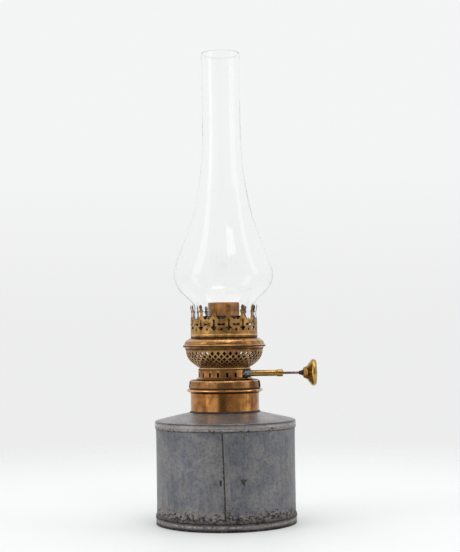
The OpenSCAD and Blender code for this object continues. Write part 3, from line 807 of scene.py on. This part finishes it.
band = flowing([(21.3, 137.8), (22.6, 138.0), (23.1, 138.35)], 3)
finish_piece("Basket_lower_band", spun(thickened(band, 0.5), 160), old_brass, "burner",
             ["pierced_basket"])
rim = [
    (34.38, 153.3), (34.48, 154.0), (34.75, 154.5), (34.95, 154.9), (34.8, 155.15), (35.2, 155.5),
    (36.2, 155.95), (36.75, 156.25), (36.75, 156.85), (35.6, 156.9),
]
finish_piece("Basket_rim", spun(filleted(thickened(rim, 0.42), 0.14, 2), 180), old_brass, "burner",
             ["pierced_basket"])

# ------------------------ cowl
# The domed brass shoulder that closes the basket and carries the chimney's seat. It is spun in one piece
# and rests on the basket's rim.
cowl_path = (
    [(36.6, 156.95), (36.75, 157.4), (36.45, 157.95), (35.85, 158.35), (35.4, 158.55), (35.35, 158.95)]
    + flowing([(35.35, 159.0), (35.2, 159.9), (34.6, 161.0), (33.6, 162.0), (32.2, 162.95), (30.6, 163.7),
               (29.35, 164.05)], 4)
    + [(29.1, 164.3), (29.1, 165.5), (24.3, 165.5), (24.3, 167.6)]
)
finish_piece("Cowl", spun(filleted(thickened(cowl_path, 0.45), 0.14, 2), 180), old_brass, "burner",
             ["cowl"])

# ------------------------ gallery
# The pierced crown round the chimney's foot, stamped flat and rolled: a beaded band, a frieze of daggers
# and scrolls, and fourteen sprung prongs that lean in and flare out at their heads.
PRONGS, RIM_R = 14, 29.6
MOTIF = 2 * math.pi * RIM_R / PRONGS
PRONG_TURN = math.radians(8.4)
crown = [
    (29.6, 164.2), (29.6, 165.6), (29.85, 166.0), (30.02, 166.6), (29.85, 167.2), (29.6, 167.6),
    (29.6, 168.5), (29.6, 180), (29.3, 181.7), (28.9, 183.5), (28.75, 185.5), (28.95, 187.1), (29.35, 189),
    (29.7, 190.6), (30.0, 193.6),
]


def arc(x, z, size, first, last, steps):
    turns = [math.radians(first + (last - first) * i / steps) for i in range(steps + 1)]
    return [(x + size * math.cos(t), z + size * math.sin(t)) for t in turns]


# Half of a prong, from its tip down to the middle of the valley beside it
half_prong = [
    (0.0, 193.3), (0.6, 192.75), (1.35, 192.1), (1.78, 191.2), (1.72, 190.4), (1.35, 189.7), (1.3, 189.2),
    (1.75, 188.5), (2.4, 187.9), (2.62, 187.3), (2.3, 186.8), (1.75, 186.4), (1.5, 185.7), (1.5, 184.7),
    (1.7, 183.7), (2.1, 182.8), (2.75, 182.0), (3.3, 181.5), (3.7, 180.8), (4.3, 180.25), (5.0, 180.05),
    (5.6, 180.25), (6.0, 180.75), (6.35, 181.25), (6.642, 181.5),
]
half_dagger = [
    (0.0, 170.4), (0.5, 170.65), (0.85, 171.1), (0.95, 171.7), (1.15, 172.1), (1.7, 172.2), (2.2, 172.55),
    (2.4, 173.05), (2.15, 173.6), (1.6, 173.9), (1.05, 174.05), (0.75, 174.6), (0.66, 175.6), (0.64, 178.4),
    (0.85, 179.0), (0.9, 179.6), (0.6, 180.15), (0.0, 180.4),
]
half_scroll = [
    (0.0, 175.25), (0.7, 175.1), (1.5, 174.85), (2.3, 174.75), (2.95, 174.95), (3.35, 175.4), (3.45, 176.0),
    (3.25, 176.6), (2.75, 177.0), (2.1, 177.05), (1.5, 176.85), (0.9, 176.6), (0.4, 176.35), (0.0, 176.3),
]


def both_sides(half):
    """A closed outline from its right half, with the points on the centre line kept once."""
    return half + [(-x, z) for x, z in reversed(half) if x > 0.001]


# The crown's outer edge. The join is at the back, where it halves a dot and a scroll.
DOT_Z, DOT_R, DAGGER_WIDTH = 171.5, 1.12, 1.15
top = []
for i in range(PRONGS):
    x0 = (i + 0.5) * MOTIF
    top += [(x0 - x, z) for x, z in reversed(half_prong[:-1])] + [(x0 + x, z) for x, z in half_prong[1:]]
join = [(0, crown[0][1])] + arc(0, DOT_Z, DOT_R, -90, 90, 6) + half_scroll + [(0, half_prong[-1][1])]
outlines = [join + top + [(PRONGS * MOTIF - x, z) for x, z in reversed(join[:-1])]]
for i in range(PRONGS):
    x0 = (i + 0.5) * MOTIF
    outlines.append([(x0 + DAGGER_WIDTH * x, z) for x, z in both_sides(half_dagger)])
for i in range(1, PRONGS):
    outlines.append([(i * MOTIF + x, z) for x, z in both_sides(half_scroll)])
    outlines.append(arc(i * MOTIF, DOT_Z, DOT_R, 0, 330, 11))

# The curve is filled at ten times its size, so that its small corners aren't merged
FILL_SCALE = 10
curve = bpy.data.curves.new("Crown_outline", "CURVE")
curve.dimensions, curve.fill_mode = "2D", "BOTH"
for points in outlines:
    spline = curve.splines.new("POLY")
    spline.points.add(len(points) - 1)
    for p, (x, z) in zip(spline.points, points):
        p.co = (x * MM * FILL_SCALE, z * MM * FILL_SCALE, 0, 1)
    spline.use_cyclic_u = True
flat_crown = bpy.data.objects.new("Crown_outline", curve)
bpy.context.collection.objects.link(flat_crown)
bpy.context.view_layer.update()
flat_mesh = flat_crown.to_mesh()
bm = bmesh.new()
bm.from_mesh(flat_mesh)
flat_crown.to_mesh_clear()
bpy.data.objects.remove(flat_crown)
bmesh.ops.scale(bm, verts=bm.verts[:], vec=(1 / FILL_SCALE,) * 3)
bmesh.ops.remove_doubles(bm, verts=bm.verts[:], dist=1e-7)

# The flat sheet is cut into narrow strips and rolled round the axis
CUTS = 160
bends = (165.6, 166.0, 166.3, 166.6, 166.9, 167.2, 167.6, 168.2, 180, 181, 182, 183, 184.3, 185.5, 187,
         188.5, 190, 191.3)
cuts = [((PRONGS * MOTIF * MM * i / CUTS, 0, 0), (1, 0, 0)) for i in range(1, CUTS)]
cuts += [((0, z * MM, 0), (0, 1, 0)) for z in bends]
for place, way in cuts:
    everything = bm.verts[:] + bm.edges[:] + bm.faces[:]
    bmesh.ops.bisect_plane(bm, geom=everything, dist=1e-8, plane_co=place, plane_no=way)
HEAD_Z = 186
for v in bm.verts:
    z = v.co.y / MM
    angle = v.co.x / (RIM_R * MM) - 0.5 * MOTIF / RIM_R + PRONG_TURN + math.pi
    r = radius_at(crown, z)
    if z > HEAD_Z:
        prong = round((angle - PRONG_TURN) * PRONGS / (2 * math.pi))
        r += 0.35 * noise.noise(Vector((prong, 3, 0)) * 1.7) * (z - HEAD_Z) / 7
    v.co = Vector((r * math.sin(angle), -r * math.cos(angle), z)) * MM
bmesh.ops.remove_doubles(bm, verts=bm.verts[:], dist=2e-6)
face_outwards(bm)
backed(bm, 0.42)
finish_piece("Gallery", bm, yellow_brass, "burner", ["gallery"], 40)

# ------------------------ outer wick tube
# A thin brass tube, seamed and drawn, that holds the wick against the draught tube inside it. Air comes in
# through a triangular window at the back. Below the cowl it is black with soot.
tube_brass = brass(
    "Tube_brass", (0.60, 0.25, 0.05, 1), (0.27, 0.10, 0.024, 1), (0.05, 0.02, 0.008, 1), rough=0.33,
    patch=0.008, lines=0.2, streaks=0.9, metal=0.58, soot_z=0.165
)

tube = (
    [(13.4, 111.9), (13.9, 111.9)] + [(13.9, 123 + i * 4.0) for i in range(17)]
    + [(13.9, 189.5), (13.94, 192.5), (13.9, 194.6), (13.75, 195.5), (13.55, 195.8), (13.4, 195.4),
       (13.4, 160)]
)
bm = spun(tube, 128)
HALF_W, SILL_Z, APEX_Z = 8.0, 137.0, 168.0
tall = APEX_Z - SILL_Z
for x, way in ((HALF_W, (tall, 0, HALF_W)), (-HALF_W, (-tall, 0, HALF_W)), (0, (0, 0, 1))):
    back = [f for f in bm.faces if f.calc_center_median().y > 0]
    around = [e for f in back for e in f.edges] + [v for f in back for v in f.verts]
    bmesh.ops.bisect_plane(bm, geom=back + list(dict.fromkeys(around)), dist=1e-8,
                           plane_co=(x * MM, 0, SILL_Z * MM), plane_no=way)
gone = []
for f in bm.faces:
    c = f.calc_center_median() / MM
    if c.y > 0 and SILL_Z < c.z < APEX_Z and abs(c.x) < HALF_W * (APEX_Z - c.z) / tall:
        gone.append(f)
bmesh.ops.delete(bm, geom=gone, context="FACES")
bmesh.ops.bridge_loops(bm, edges=[e for e in bm.edges if e.is_boundary])
bmesh.ops.recalc_face_normals(bm, faces=bm.faces[:])
finish_piece("Outer_wick_tube", bm, tube_brass, "burner", ["outer_wick_tube"])

# ------------------------ wick
# A flat plait of cotton 2 mm thick, bent round so that its edges meet at the back. Its lower part is
# narrower, to leave the air window open, and its top edge is charred. Its strands follow its own UV map.
cotton, tree, shader, where = start_material("Wick_cotton")
uv = tree.nodes.new("ShaderNodeUVMap")
uv.uv_map = "weave"
strands = tree.nodes.new("ShaderNodeTexWave")
strands.wave_type = "BANDS"
strands.bands_direction = "DIAGONAL"
put(tree, uv.outputs[0], strands.inputs["Vector"])
strands.inputs["Scale"].default_value = 260.0
strands.inputs["Distortion"].default_value = 1.5
place = tree.nodes.new("ShaderNodeSeparateXYZ")
tree.links.new(uv.outputs[0], place.inputs[0])
fuzz = noise_node(tree, where, 900.0, 4.0, 0.7)
charred = plus(tree, place.outputs[1], times(tree, fuzz, 0.003))
charred = between(tree, charred, 0.1805, 0.1845)
colour = mix_colour(tree, strands.outputs["Fac"], (0.42, 0.35, 0.24, 1), (0.66, 0.60, 0.47, 1))
put(tree, mix_colour(tree, charred, colour, (0.02, 0.015, 0.012, 1)), shader.inputs["Base Color"])
put(tree, between(tree, fuzz, 0.3, 0.7, 0.85, 0.98), shader.inputs["Roughness"])
height = plus(tree, strands.outputs["Fac"], times(tree, fuzz, 0.6))
bump(tree, shader, height, 0.7, 0.0003)

WICK_R, WICK_HALF_T = 11.8, 0.95
FOOT_Z, TOP_Z = 12.2, 194.9
WINDOW_Z, CLOSED_Z, WINDOW_GAP, SEAM_GAP = 147, 182, 9.4, 0.35
AROUND, UP = 120, 92
bm = bmesh.new()
uv_layer = bm.loops.layers.uv.new("weave")
grid = []
for i in range(AROUND + 1):
    share = i / AROUND * 2 - 1
    column = []
    for j in range(UP + 1):
        z = FOOT_Z + (TOP_Z - FOOT_Z) * j / UP
        narrowing = max(0.0, min(1.0, (CLOSED_Z - z) / (CLOSED_Z - WINDOW_Z)))
        gap = SEAM_GAP + (WINDOW_GAP - SEAM_GAP) * narrowing
        angle = share * (math.pi - math.asin(gap / WICK_R))
        top = 0.35 * noise.noise(Vector((i * 0.9, 0, 3))) if j == UP else 0.0
        r = WICK_R + 0.05 * noise.noise(Vector((i * 0.4, j * 0.4, 0)))
        point = Vector((r * math.sin(angle), -r * math.cos(angle), z + top)) * MM
        column.append((bm.verts.new(point), (share * math.pi * WICK_R * MM, (z - FOOT_Z) * MM)))
    grid.append(column)
for a, b in zip(grid, grid[1:]):
    for j in range(UP):
        corners = (a[j], b[j], b[j + 1], a[j + 1])
        face = bm.faces.new([c[0] for c in corners])
        for loop, corner in zip(face.loops, corners):
            loop[uv_layer].uv = corner[1]
bmesh.ops.recalc_face_normals(bm, faces=bm.faces[:])
wick = finish_piece("Wick", bm, cotton, "wick", ["wick"])
wall = wick.modifiers.new("Thickness", "SOLIDIFY")
wall.thickness, wall.offset = 2 * WICK_HALF_T * MM, 0.0

# ------------------------ sleeve and ferrule
# A long brass sleeve carries the wick shaft out to its knob, and a turned ferrule closes its end. Both have
# kept a yellow shine.
knob_brass = brass(
    "Knob_brass", (0.50, 0.31, 0.085, 1), (0.33, 0.18, 0.05, 1), (0.07, 0.04, 0.014, 1), rough=0.17,
    patch=0.02, lines=0.1, streaks=0.1
)
SHAFT_Y, SHAFT_Z = -14.05, 132.6


def lay_on_shaft(bm):
    """Turns a shape spun about Z so that its axis is the wick shaft, with its heights running along +X."""
    turn = Matrix.Rotation(math.pi / 2, 3, "Y")
    bmesh.ops.rotate(bm, verts=bm.verts[:], cent=(0, 0, 0), matrix=turn)
    bmesh.ops.translate(bm, verts=bm.verts[:], vec=(0, SHAFT_Y * MM, SHAFT_Z * MM))
    return bm


sleeve = [
    (1.6, 10), (2.62, 10), (2.65, 24), (2.6, 30), (2.64, 38), (2.62, 44.6), (2.45, 45.2), (2.45, 45.55),
    (1.6, 45.55),
]
finish_piece("Shaft_sleeve", lay_on_shaft(spun(filleted(sleeve, 0.2), 64)), knob_brass, "burner",
             ["shaft_sleeve"])

ferrule = [
    (1.15, 45.62), (2.9, 45.62), (3.05, 45.8), (3.1, 46.3), (3.0, 46.5), (3.05, 46.7), (3.15, 47.0),
    (3.15, 50.6), (3.0, 51.1), (2.3, 51.4), (1.15, 51.4),
]
finish_piece("Sleeve_ferrule", lay_on_shaft(spun(filleted(ferrule, 0.15, 2), 64)), knob_brass, "burner",
             ["sleeve_ferrule"])

# ------------------------ sleeve solder
# A lump of soft solder fixes the sleeve to the neck, and some of it ran out over the neck beside it. It is
# still grey and shiny.
grey_solder = plain(
    "Grey_solder", (0.30, 0.31, 0.34, 1), (0.10, 0.10, 0.115, 1), (0.035, 0.032, 0.03, 1), 0.28, 0.9, 0.0025
)
NECK_FACE_R = 23.42
lump = [
    (2.66, 17.2), (3.5, 17.2), (3.8, 17.9), (3.8, 18.6), (3.5, 20.0), (3.3, 21.4), (3.1, 22.6), (2.9, 23.4),
    (2.66, 23.7), (2.66, 20),
]
bm = spun(filleted(lump, 0.4), 60)
bmesh.ops.subdivide_edges(bm, edges=[e for e in bm.edges if e.calc_length() > 0.0006], cuts=1,
                          use_grid_fill=True)
lay_on_shaft(bm)
for v in bm.verts:
    out = Vector((0, v.co.y - SHAFT_Y * MM, v.co.z - SHAFT_Z * MM))
    if out.length > 0.00275:
        bulge = 0.35 * noise.noise(v.co / 0.0028) + 0.2 * noise.noise(v.co / 0.0011)
        v.co += out.normalized() * min(bulge, 0.12 if out.length > 0.0045 else 0.3) * MM
    flat = outward(v.co)
    if flat.length < NECK_FACE_R * MM:
        v.co += flat.normalized() * (NECK_FACE_R * MM - flat.length)
bmesh.ops.recalc_face_normals(bm, faces=bm.faces[:])
finish_piece("Sleeve_solder", bm, grey_solder, "burner", ["sleeve_solder"])

bm = bmesh.new()
bmesh.ops.create_grid(bm, x_segments=30, y_segments=24, size=0.5)
trimmings = []
for f in bm.faces:
    c = f.calc_center_median()
    if c.length > 0.42 + 0.11 * noise.noise(c * 5 + Vector((3, 1, 0))):
        trimmings.append(f)
bmesh.ops.delete(bm, geom=trimmings, context="FACES")
top_side = bmesh.ops.extrude_face_region(bm, geom=bm.faces[:])["geom"]
raised = {v for v in top_side if isinstance(v, bmesh.types.BMVert)}
SMEAR_BEARING, SMEAR_WIDE, SMEAR_Z, SMEAR_TALL = 55.5, 18, 132.4, 8.2
for v in bm.verts:
    u, w = v.co.x, v.co.y
    angle = math.radians(SMEAR_BEARING + SMEAR_WIDE * u)
    thick = 0.12 + 0.5 * max(0.0, 0.42 - math.hypot(u, w)) + 0.1 * noise.noise(Vector((u * 9, w * 9, 2)))
    r = NECK_FACE_R + thick if v in raised else NECK_FACE_R - 0.04
    v.co = Vector((r * math.sin(angle), -r * math.cos(angle), SMEAR_Z + SMEAR_TALL * w)) * MM
bmesh.ops.recalc_face_normals(bm, faces=bm.faces[:])
finish_piece("Neck_solder_smear", bm, grey_solder, "burner", ["sleeve_solder"])

# ------------------------ shaft and knob
# A browned steel shaft turns the wick's spur wheels. Its knob is a spun brass trumpet with a stepped,
# ringed face, soldered on a hub.
steel = plain(
    "Brown_steel", (0.26, 0.17, 0.13, 1), (0.13, 0.085, 0.07, 1), (0.04, 0.025, 0.02, 1), 0.34, 0.9, 0.004
)
shaft = (
    [(0, -12.5), (0.9, -12.5), (1.1, -12.3)] + [(1.1 - 0.02 * (i % 2), -10 + i * 3.5) for i in range(22)]
    + [(1.1, 67.8), (0.9, 68.0), (0, 68.0)]
)
finish_piece("Wick_shaft", lay_on_shaft(spun(shaft, 32)), steel, "wick_spindle",
             ["wick_shaft"])

hub = [
    (1.1, 65.4), (1.5, 65.4), (1.75, 65.8), (1.85, 66.8), (2.35, 68.2), (2.95, 69.0), (3.0, 70), (3.0, 71.8),
    (1.1, 71.8), (1.1, 68.5),
]
finish_piece("Knob_hub", lay_on_shaft(spun(filleted(hub, 0.2, 2), 48)), black_solder, "wick_spindle",
             ["knob_hub"])

trumpet = [(3.02, 68.85), (3.9, 69.05), (4.6, 69.55), (5.0, 70.4), (5.45, 71.6), (6.1, 72.6), (7.1, 73.4)]
step = [(7.35, 73.45), (8.1, 74.0), (9.1, 74.8), (10.0, 75.6)]
edge = [(10.15, 75.6), (10.8, 76.1), (11.45, 76.9), (11.75, 77.8), (11.7, 78.6), (11.4, 79.2)]
shell = flowing(trumpet, 3) + flowing(step, 3) + flowing(edge, 3)
finish_piece("Knob_shell", lay_on_shaft(spun(filleted(thickened(shell, 0.45), 0.12, 2), 96)), knob_brass,
             "wick_spindle", ["knob_shell"])

face = [
    (11.38, 79.22), (11.1, 79.9), (10.5, 80.45), (9.8, 80.55), (9.3, 80.3), (8.8, 80.3), (8.3, 80.65),
    (7.6, 80.7), (7.2, 80.45), (5.2, 80.5), (4.7, 80.75), (4.1, 80.75), (3.7, 80.55), (2.4, 80.7),
    (1.6, 81.2), (0.8, 81.4), (0, 81.4), (0, 80.2), (3, 80.1), (8, 79.9), (10, 79.8), (10.7, 79.22),
]
finish_piece("Knob_face", lay_on_shaft(spun(filleted(face, 0.12, 2), 96)), knob_brass, "wick_spindle",
             ["knob_face"])

# ------------------------ chimney
# Clear blown glass 1.2 mm thick with a faint cool tint, dusty smears and slow ripples in its wall. Its
# mouth and foot are fire-polished to small round lips.
glass, tree, shader, where = start_material("Blown_glass")
smear = noise_node(tree, mapped(tree, where, (1, 1, 0.3)), 90.0, 5.0, 0.6)
ripple = noise_node(tree, mapped(tree, where, (1, 1, 0.45)), 38.0, 2.0, 0.5)
tint = mix_colour(tree, smear, (0.999, 1.0, 1.0, 1), (0.992, 0.995, 0.994, 1))
put(tree, tint, shader.inputs["Base Color"])
put(tree, between(tree, smear, 0.5, 0.8, 0.01, 0.05), shader.inputs["Roughness"])
shader.inputs["Transmission Weight"].default_value = 1.0
shader.inputs["Metallic"].default_value = 0.0
shader.inputs["IOR"].default_value = 1.33
bump(tree, shader, ripple, 0.25, 0.0009)

GLASS_T, WANDER_Z = 1.2, 200
bulb = flowing([
    (26.5, 170), (26.5, 186), (26.5, 190.5), (26.9, 193), (29.2, 196.6), (33.4, 200.8), (38.3, 205.4),
    (42.1, 211), (43.9, 216.5), (44.2, 221), (43, 227.3), (40.3, 235.3), (36.2, 245.8), (31.4, 258.3),
    (26.7, 273), (22.6, 291), (19.4, 311), (17.7, 331), (17.05, 350), (16.95, 372), (17.05, 395),
    (17.15, 412),
], 5)
bore = thickened(bulb, GLASS_T)[len(bulb):]
mouth = [
    (17.25, 415.6), (17.25, 416.4), (16.95, 416.85), (16.55, 417.0), (16.1, 416.8), (15.9, 416.2),
    (15.9, 415),
]
lip = [(25.2, 166.4), (25.35, 165.8), (25.85, 165.52), (26.3, 165.75), (26.5, 166.4)]
bm = spun(lip + bulb + mouth + bore, 256)
for v in bm.verts:
    z = v.co.z / MM
    if z > WANDER_Z:
        free = min(1.0, (z - WANDER_Z) / 15)
        v.co.x += 0.18 * noise.noise(Vector((z / 60, 0.3, 0))) * free * MM
        v.co.y += 0.18 * noise.noise(Vector((z / 60, 7.3, 0))) * free * MM
finish_piece("Glass_chimney", bm, glass, "chimney", ["chimney"])

# ------------------------ pieces kept from the CAD model
# The inner brass parts, the two screw threads and the leather washer, whose plain machined shapes are right
# as they are. They get the same aged materials.
dark_brass = brass(
    "Dark_brass", (0.045, 0.026, 0.014, 1), (0.022, 0.013, 0.008, 1), (0.01, 0.007, 0.005, 1), rough=0.5,
    patch=0.009
)
leather = plain(
    "Oiled_leather", (0.07, 0.035, 0.02, 1), (0.035, 0.018, 0.011, 1), (0.012, 0.008, 0.006, 1), 0.55, 0.0,
    0.002
)
kept = {
    dark_brass: ["burner_floor", "vent_tube", "air_cone", "chimney_spring_ring", "inner_draught_tube",
                 "air_window_frame", "drive_housing", "sleeve_bush", "left_spur_wheel", "right_spur_wheel",
                 "shaft_keeper"],
    old_brass: ["burner_thread_ring", "collar_thread_ring"],
    leather: ["leather_washer"],
}
for material, names in kept.items():
    for name in names:
        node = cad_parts[name]
        node.data.materials.clear()
        node.data.materials.append(material)

# ------------------------ studio
# A pale floor that fades into a pale room, with soft boxes at both sides, above and in front. The small
# window box makes the bright mark on the chimney's bulb.
paper, tree, shader, where = start_material("Studio_paper")
shader.inputs["Base Color"].default_value = (0.835, 0.845, 0.845, 1)
shader.inputs["Roughness"].default_value = 0.6
away = tree.nodes.new("ShaderNodeVectorMath")
away.operation = "LENGTH"
tree.links.new(where, away.inputs[0])
put(tree, between(tree, away.outputs["Value"], 0.3, 0.95, 1.0, 0.0), shader.inputs["Alpha"])
bm = bmesh.new()
bmesh.ops.create_circle(bm, cap_ends=True, segments=64, radius=1.0)
mesh = bpy.data.meshes.new("Floor")
bm.to_mesh(mesh)
bm.free()
mesh.materials.append(paper)
floor = bpy.data.objects.new("Floor", mesh)
bpy.context.collection.objects.link(floor)


def soft_box(name, place, target, wide, tall, power):
    light = bpy.data.lights.new(name, "AREA")
    light.shape, light.size, light.size_y, light.energy = "RECTANGLE", wide, tall, power
    lamp = bpy.data.objects.new(name, light)
    lamp.location = place
    lamp.rotation_euler = (Vector(target) - Vector(place)).to_track_quat("-Z", "Y").to_euler()
    bpy.context.collection.objects.link(lamp)


BURNER, SIDES = (0, 0, 0.17), (0, 0, 1.1)
soft_box("Left_box", (-1.45, -0.7, 1.1), SIDES, 0.6, 2.1, 5.0)
soft_box("Right_box", (1.5, -0.3, 1.1), SIDES, 0.45, 2.1, 3.0)
soft_box("Top_box", (0.0, 0.1, 2.2), BURNER, 1.6, 1.4, 9.5)
soft_box("Front_box", (0.3, -0.75, 1.8), BURNER, 0.8, 0.5, 5.0)
soft_box("Window_box", (0.48, -0.94, 1.32), BURNER, 0.5, 0.16, 0.55)

# The room: pale all round, as the camera and the glass see it. Other surfaces also see a dark figure at the
# camera's place and a dimmer wall to its right, which give polished metal its dark middle bands.
world = bpy.data.worlds.new("Studio")
world.use_nodes = True
tree = world.node_tree
sky = tree.nodes["Background"]
part = tree.nodes.new("ShaderNodeSeparateXYZ")
tree.links.new(tree.nodes.new("ShaderNodeTexCoord").outputs["Generated"], part.inputs[0])
x, y, z = part.outputs
path = tree.nodes.new("ShaderNodeLightPath")
seen = larger(tree, path.outputs["Is Camera Ray"], path.outputs["Is Transmission Ray"])
room = mix_colour(tree, between(tree, z, 0.0, 0.16), (0.845, 0.85, 0.848, 1), (0.905, 0.908, 0.91, 1))
front = times(tree, between(tree, y, -0.4, 0.0, 1.0, 0.0), math_node(tree, "SUBTRACT", 1.0, seen))
wall = times(tree, between(tree, x, 0.05, 0.2), front)
wall = times(tree, wall, between(tree, x, 0.7, 0.95, 0.55, 0.0))
room = mix_colour(tree, wall, room, (0.06, 0.055, 0.05, 1))
beside = math_node(tree, "ABSOLUTE", plus(tree, x, 0.12))
figure = times(tree, between(tree, beside, 0.19, 0.34, 1.0, 0.0), front)
above = math_node(tree, "ABSOLUTE", z)
figure = times(tree, figure, between(tree, above, 0.4, 0.7, 0.96, 0.0))
put(tree, mix_colour(tree, figure, room, (0.06, 0.056, 0.052, 1)), sky.inputs["Color"])
sky.inputs["Strength"].default_value = 1.0
bpy.context.scene.world = world
bpy.context.scene.view_settings.view_transform = "Standard"

# The camera stands 1.1 m in front, a little above the burner, and is turned slightly on its own axis
CAMERA_PLACE, CAMERA_TURN = (0, -1.095, 0.1648), -0.81
camera_data = bpy.data.cameras.new("Camera")
camera_data.sensor_width, camera_data.lens = 36.0, 80.2
camera_data.shift_x, camera_data.shift_y = 0.0107, 0.1105
camera_data.clip_start, camera_data.clip_end = 0.05, 50
camera = bpy.data.objects.new("Camera", camera_data)
camera.matrix_world = (
    Matrix.Translation(CAMERA_PLACE)
    @ Matrix.Rotation(math.radians(90), 4, "X")
    @ Matrix.Rotation(math.radians(CAMERA_TURN), 4, "Z")
)
bpy.context.collection.objects.link(camera)
bpy.context.scene.camera = camera
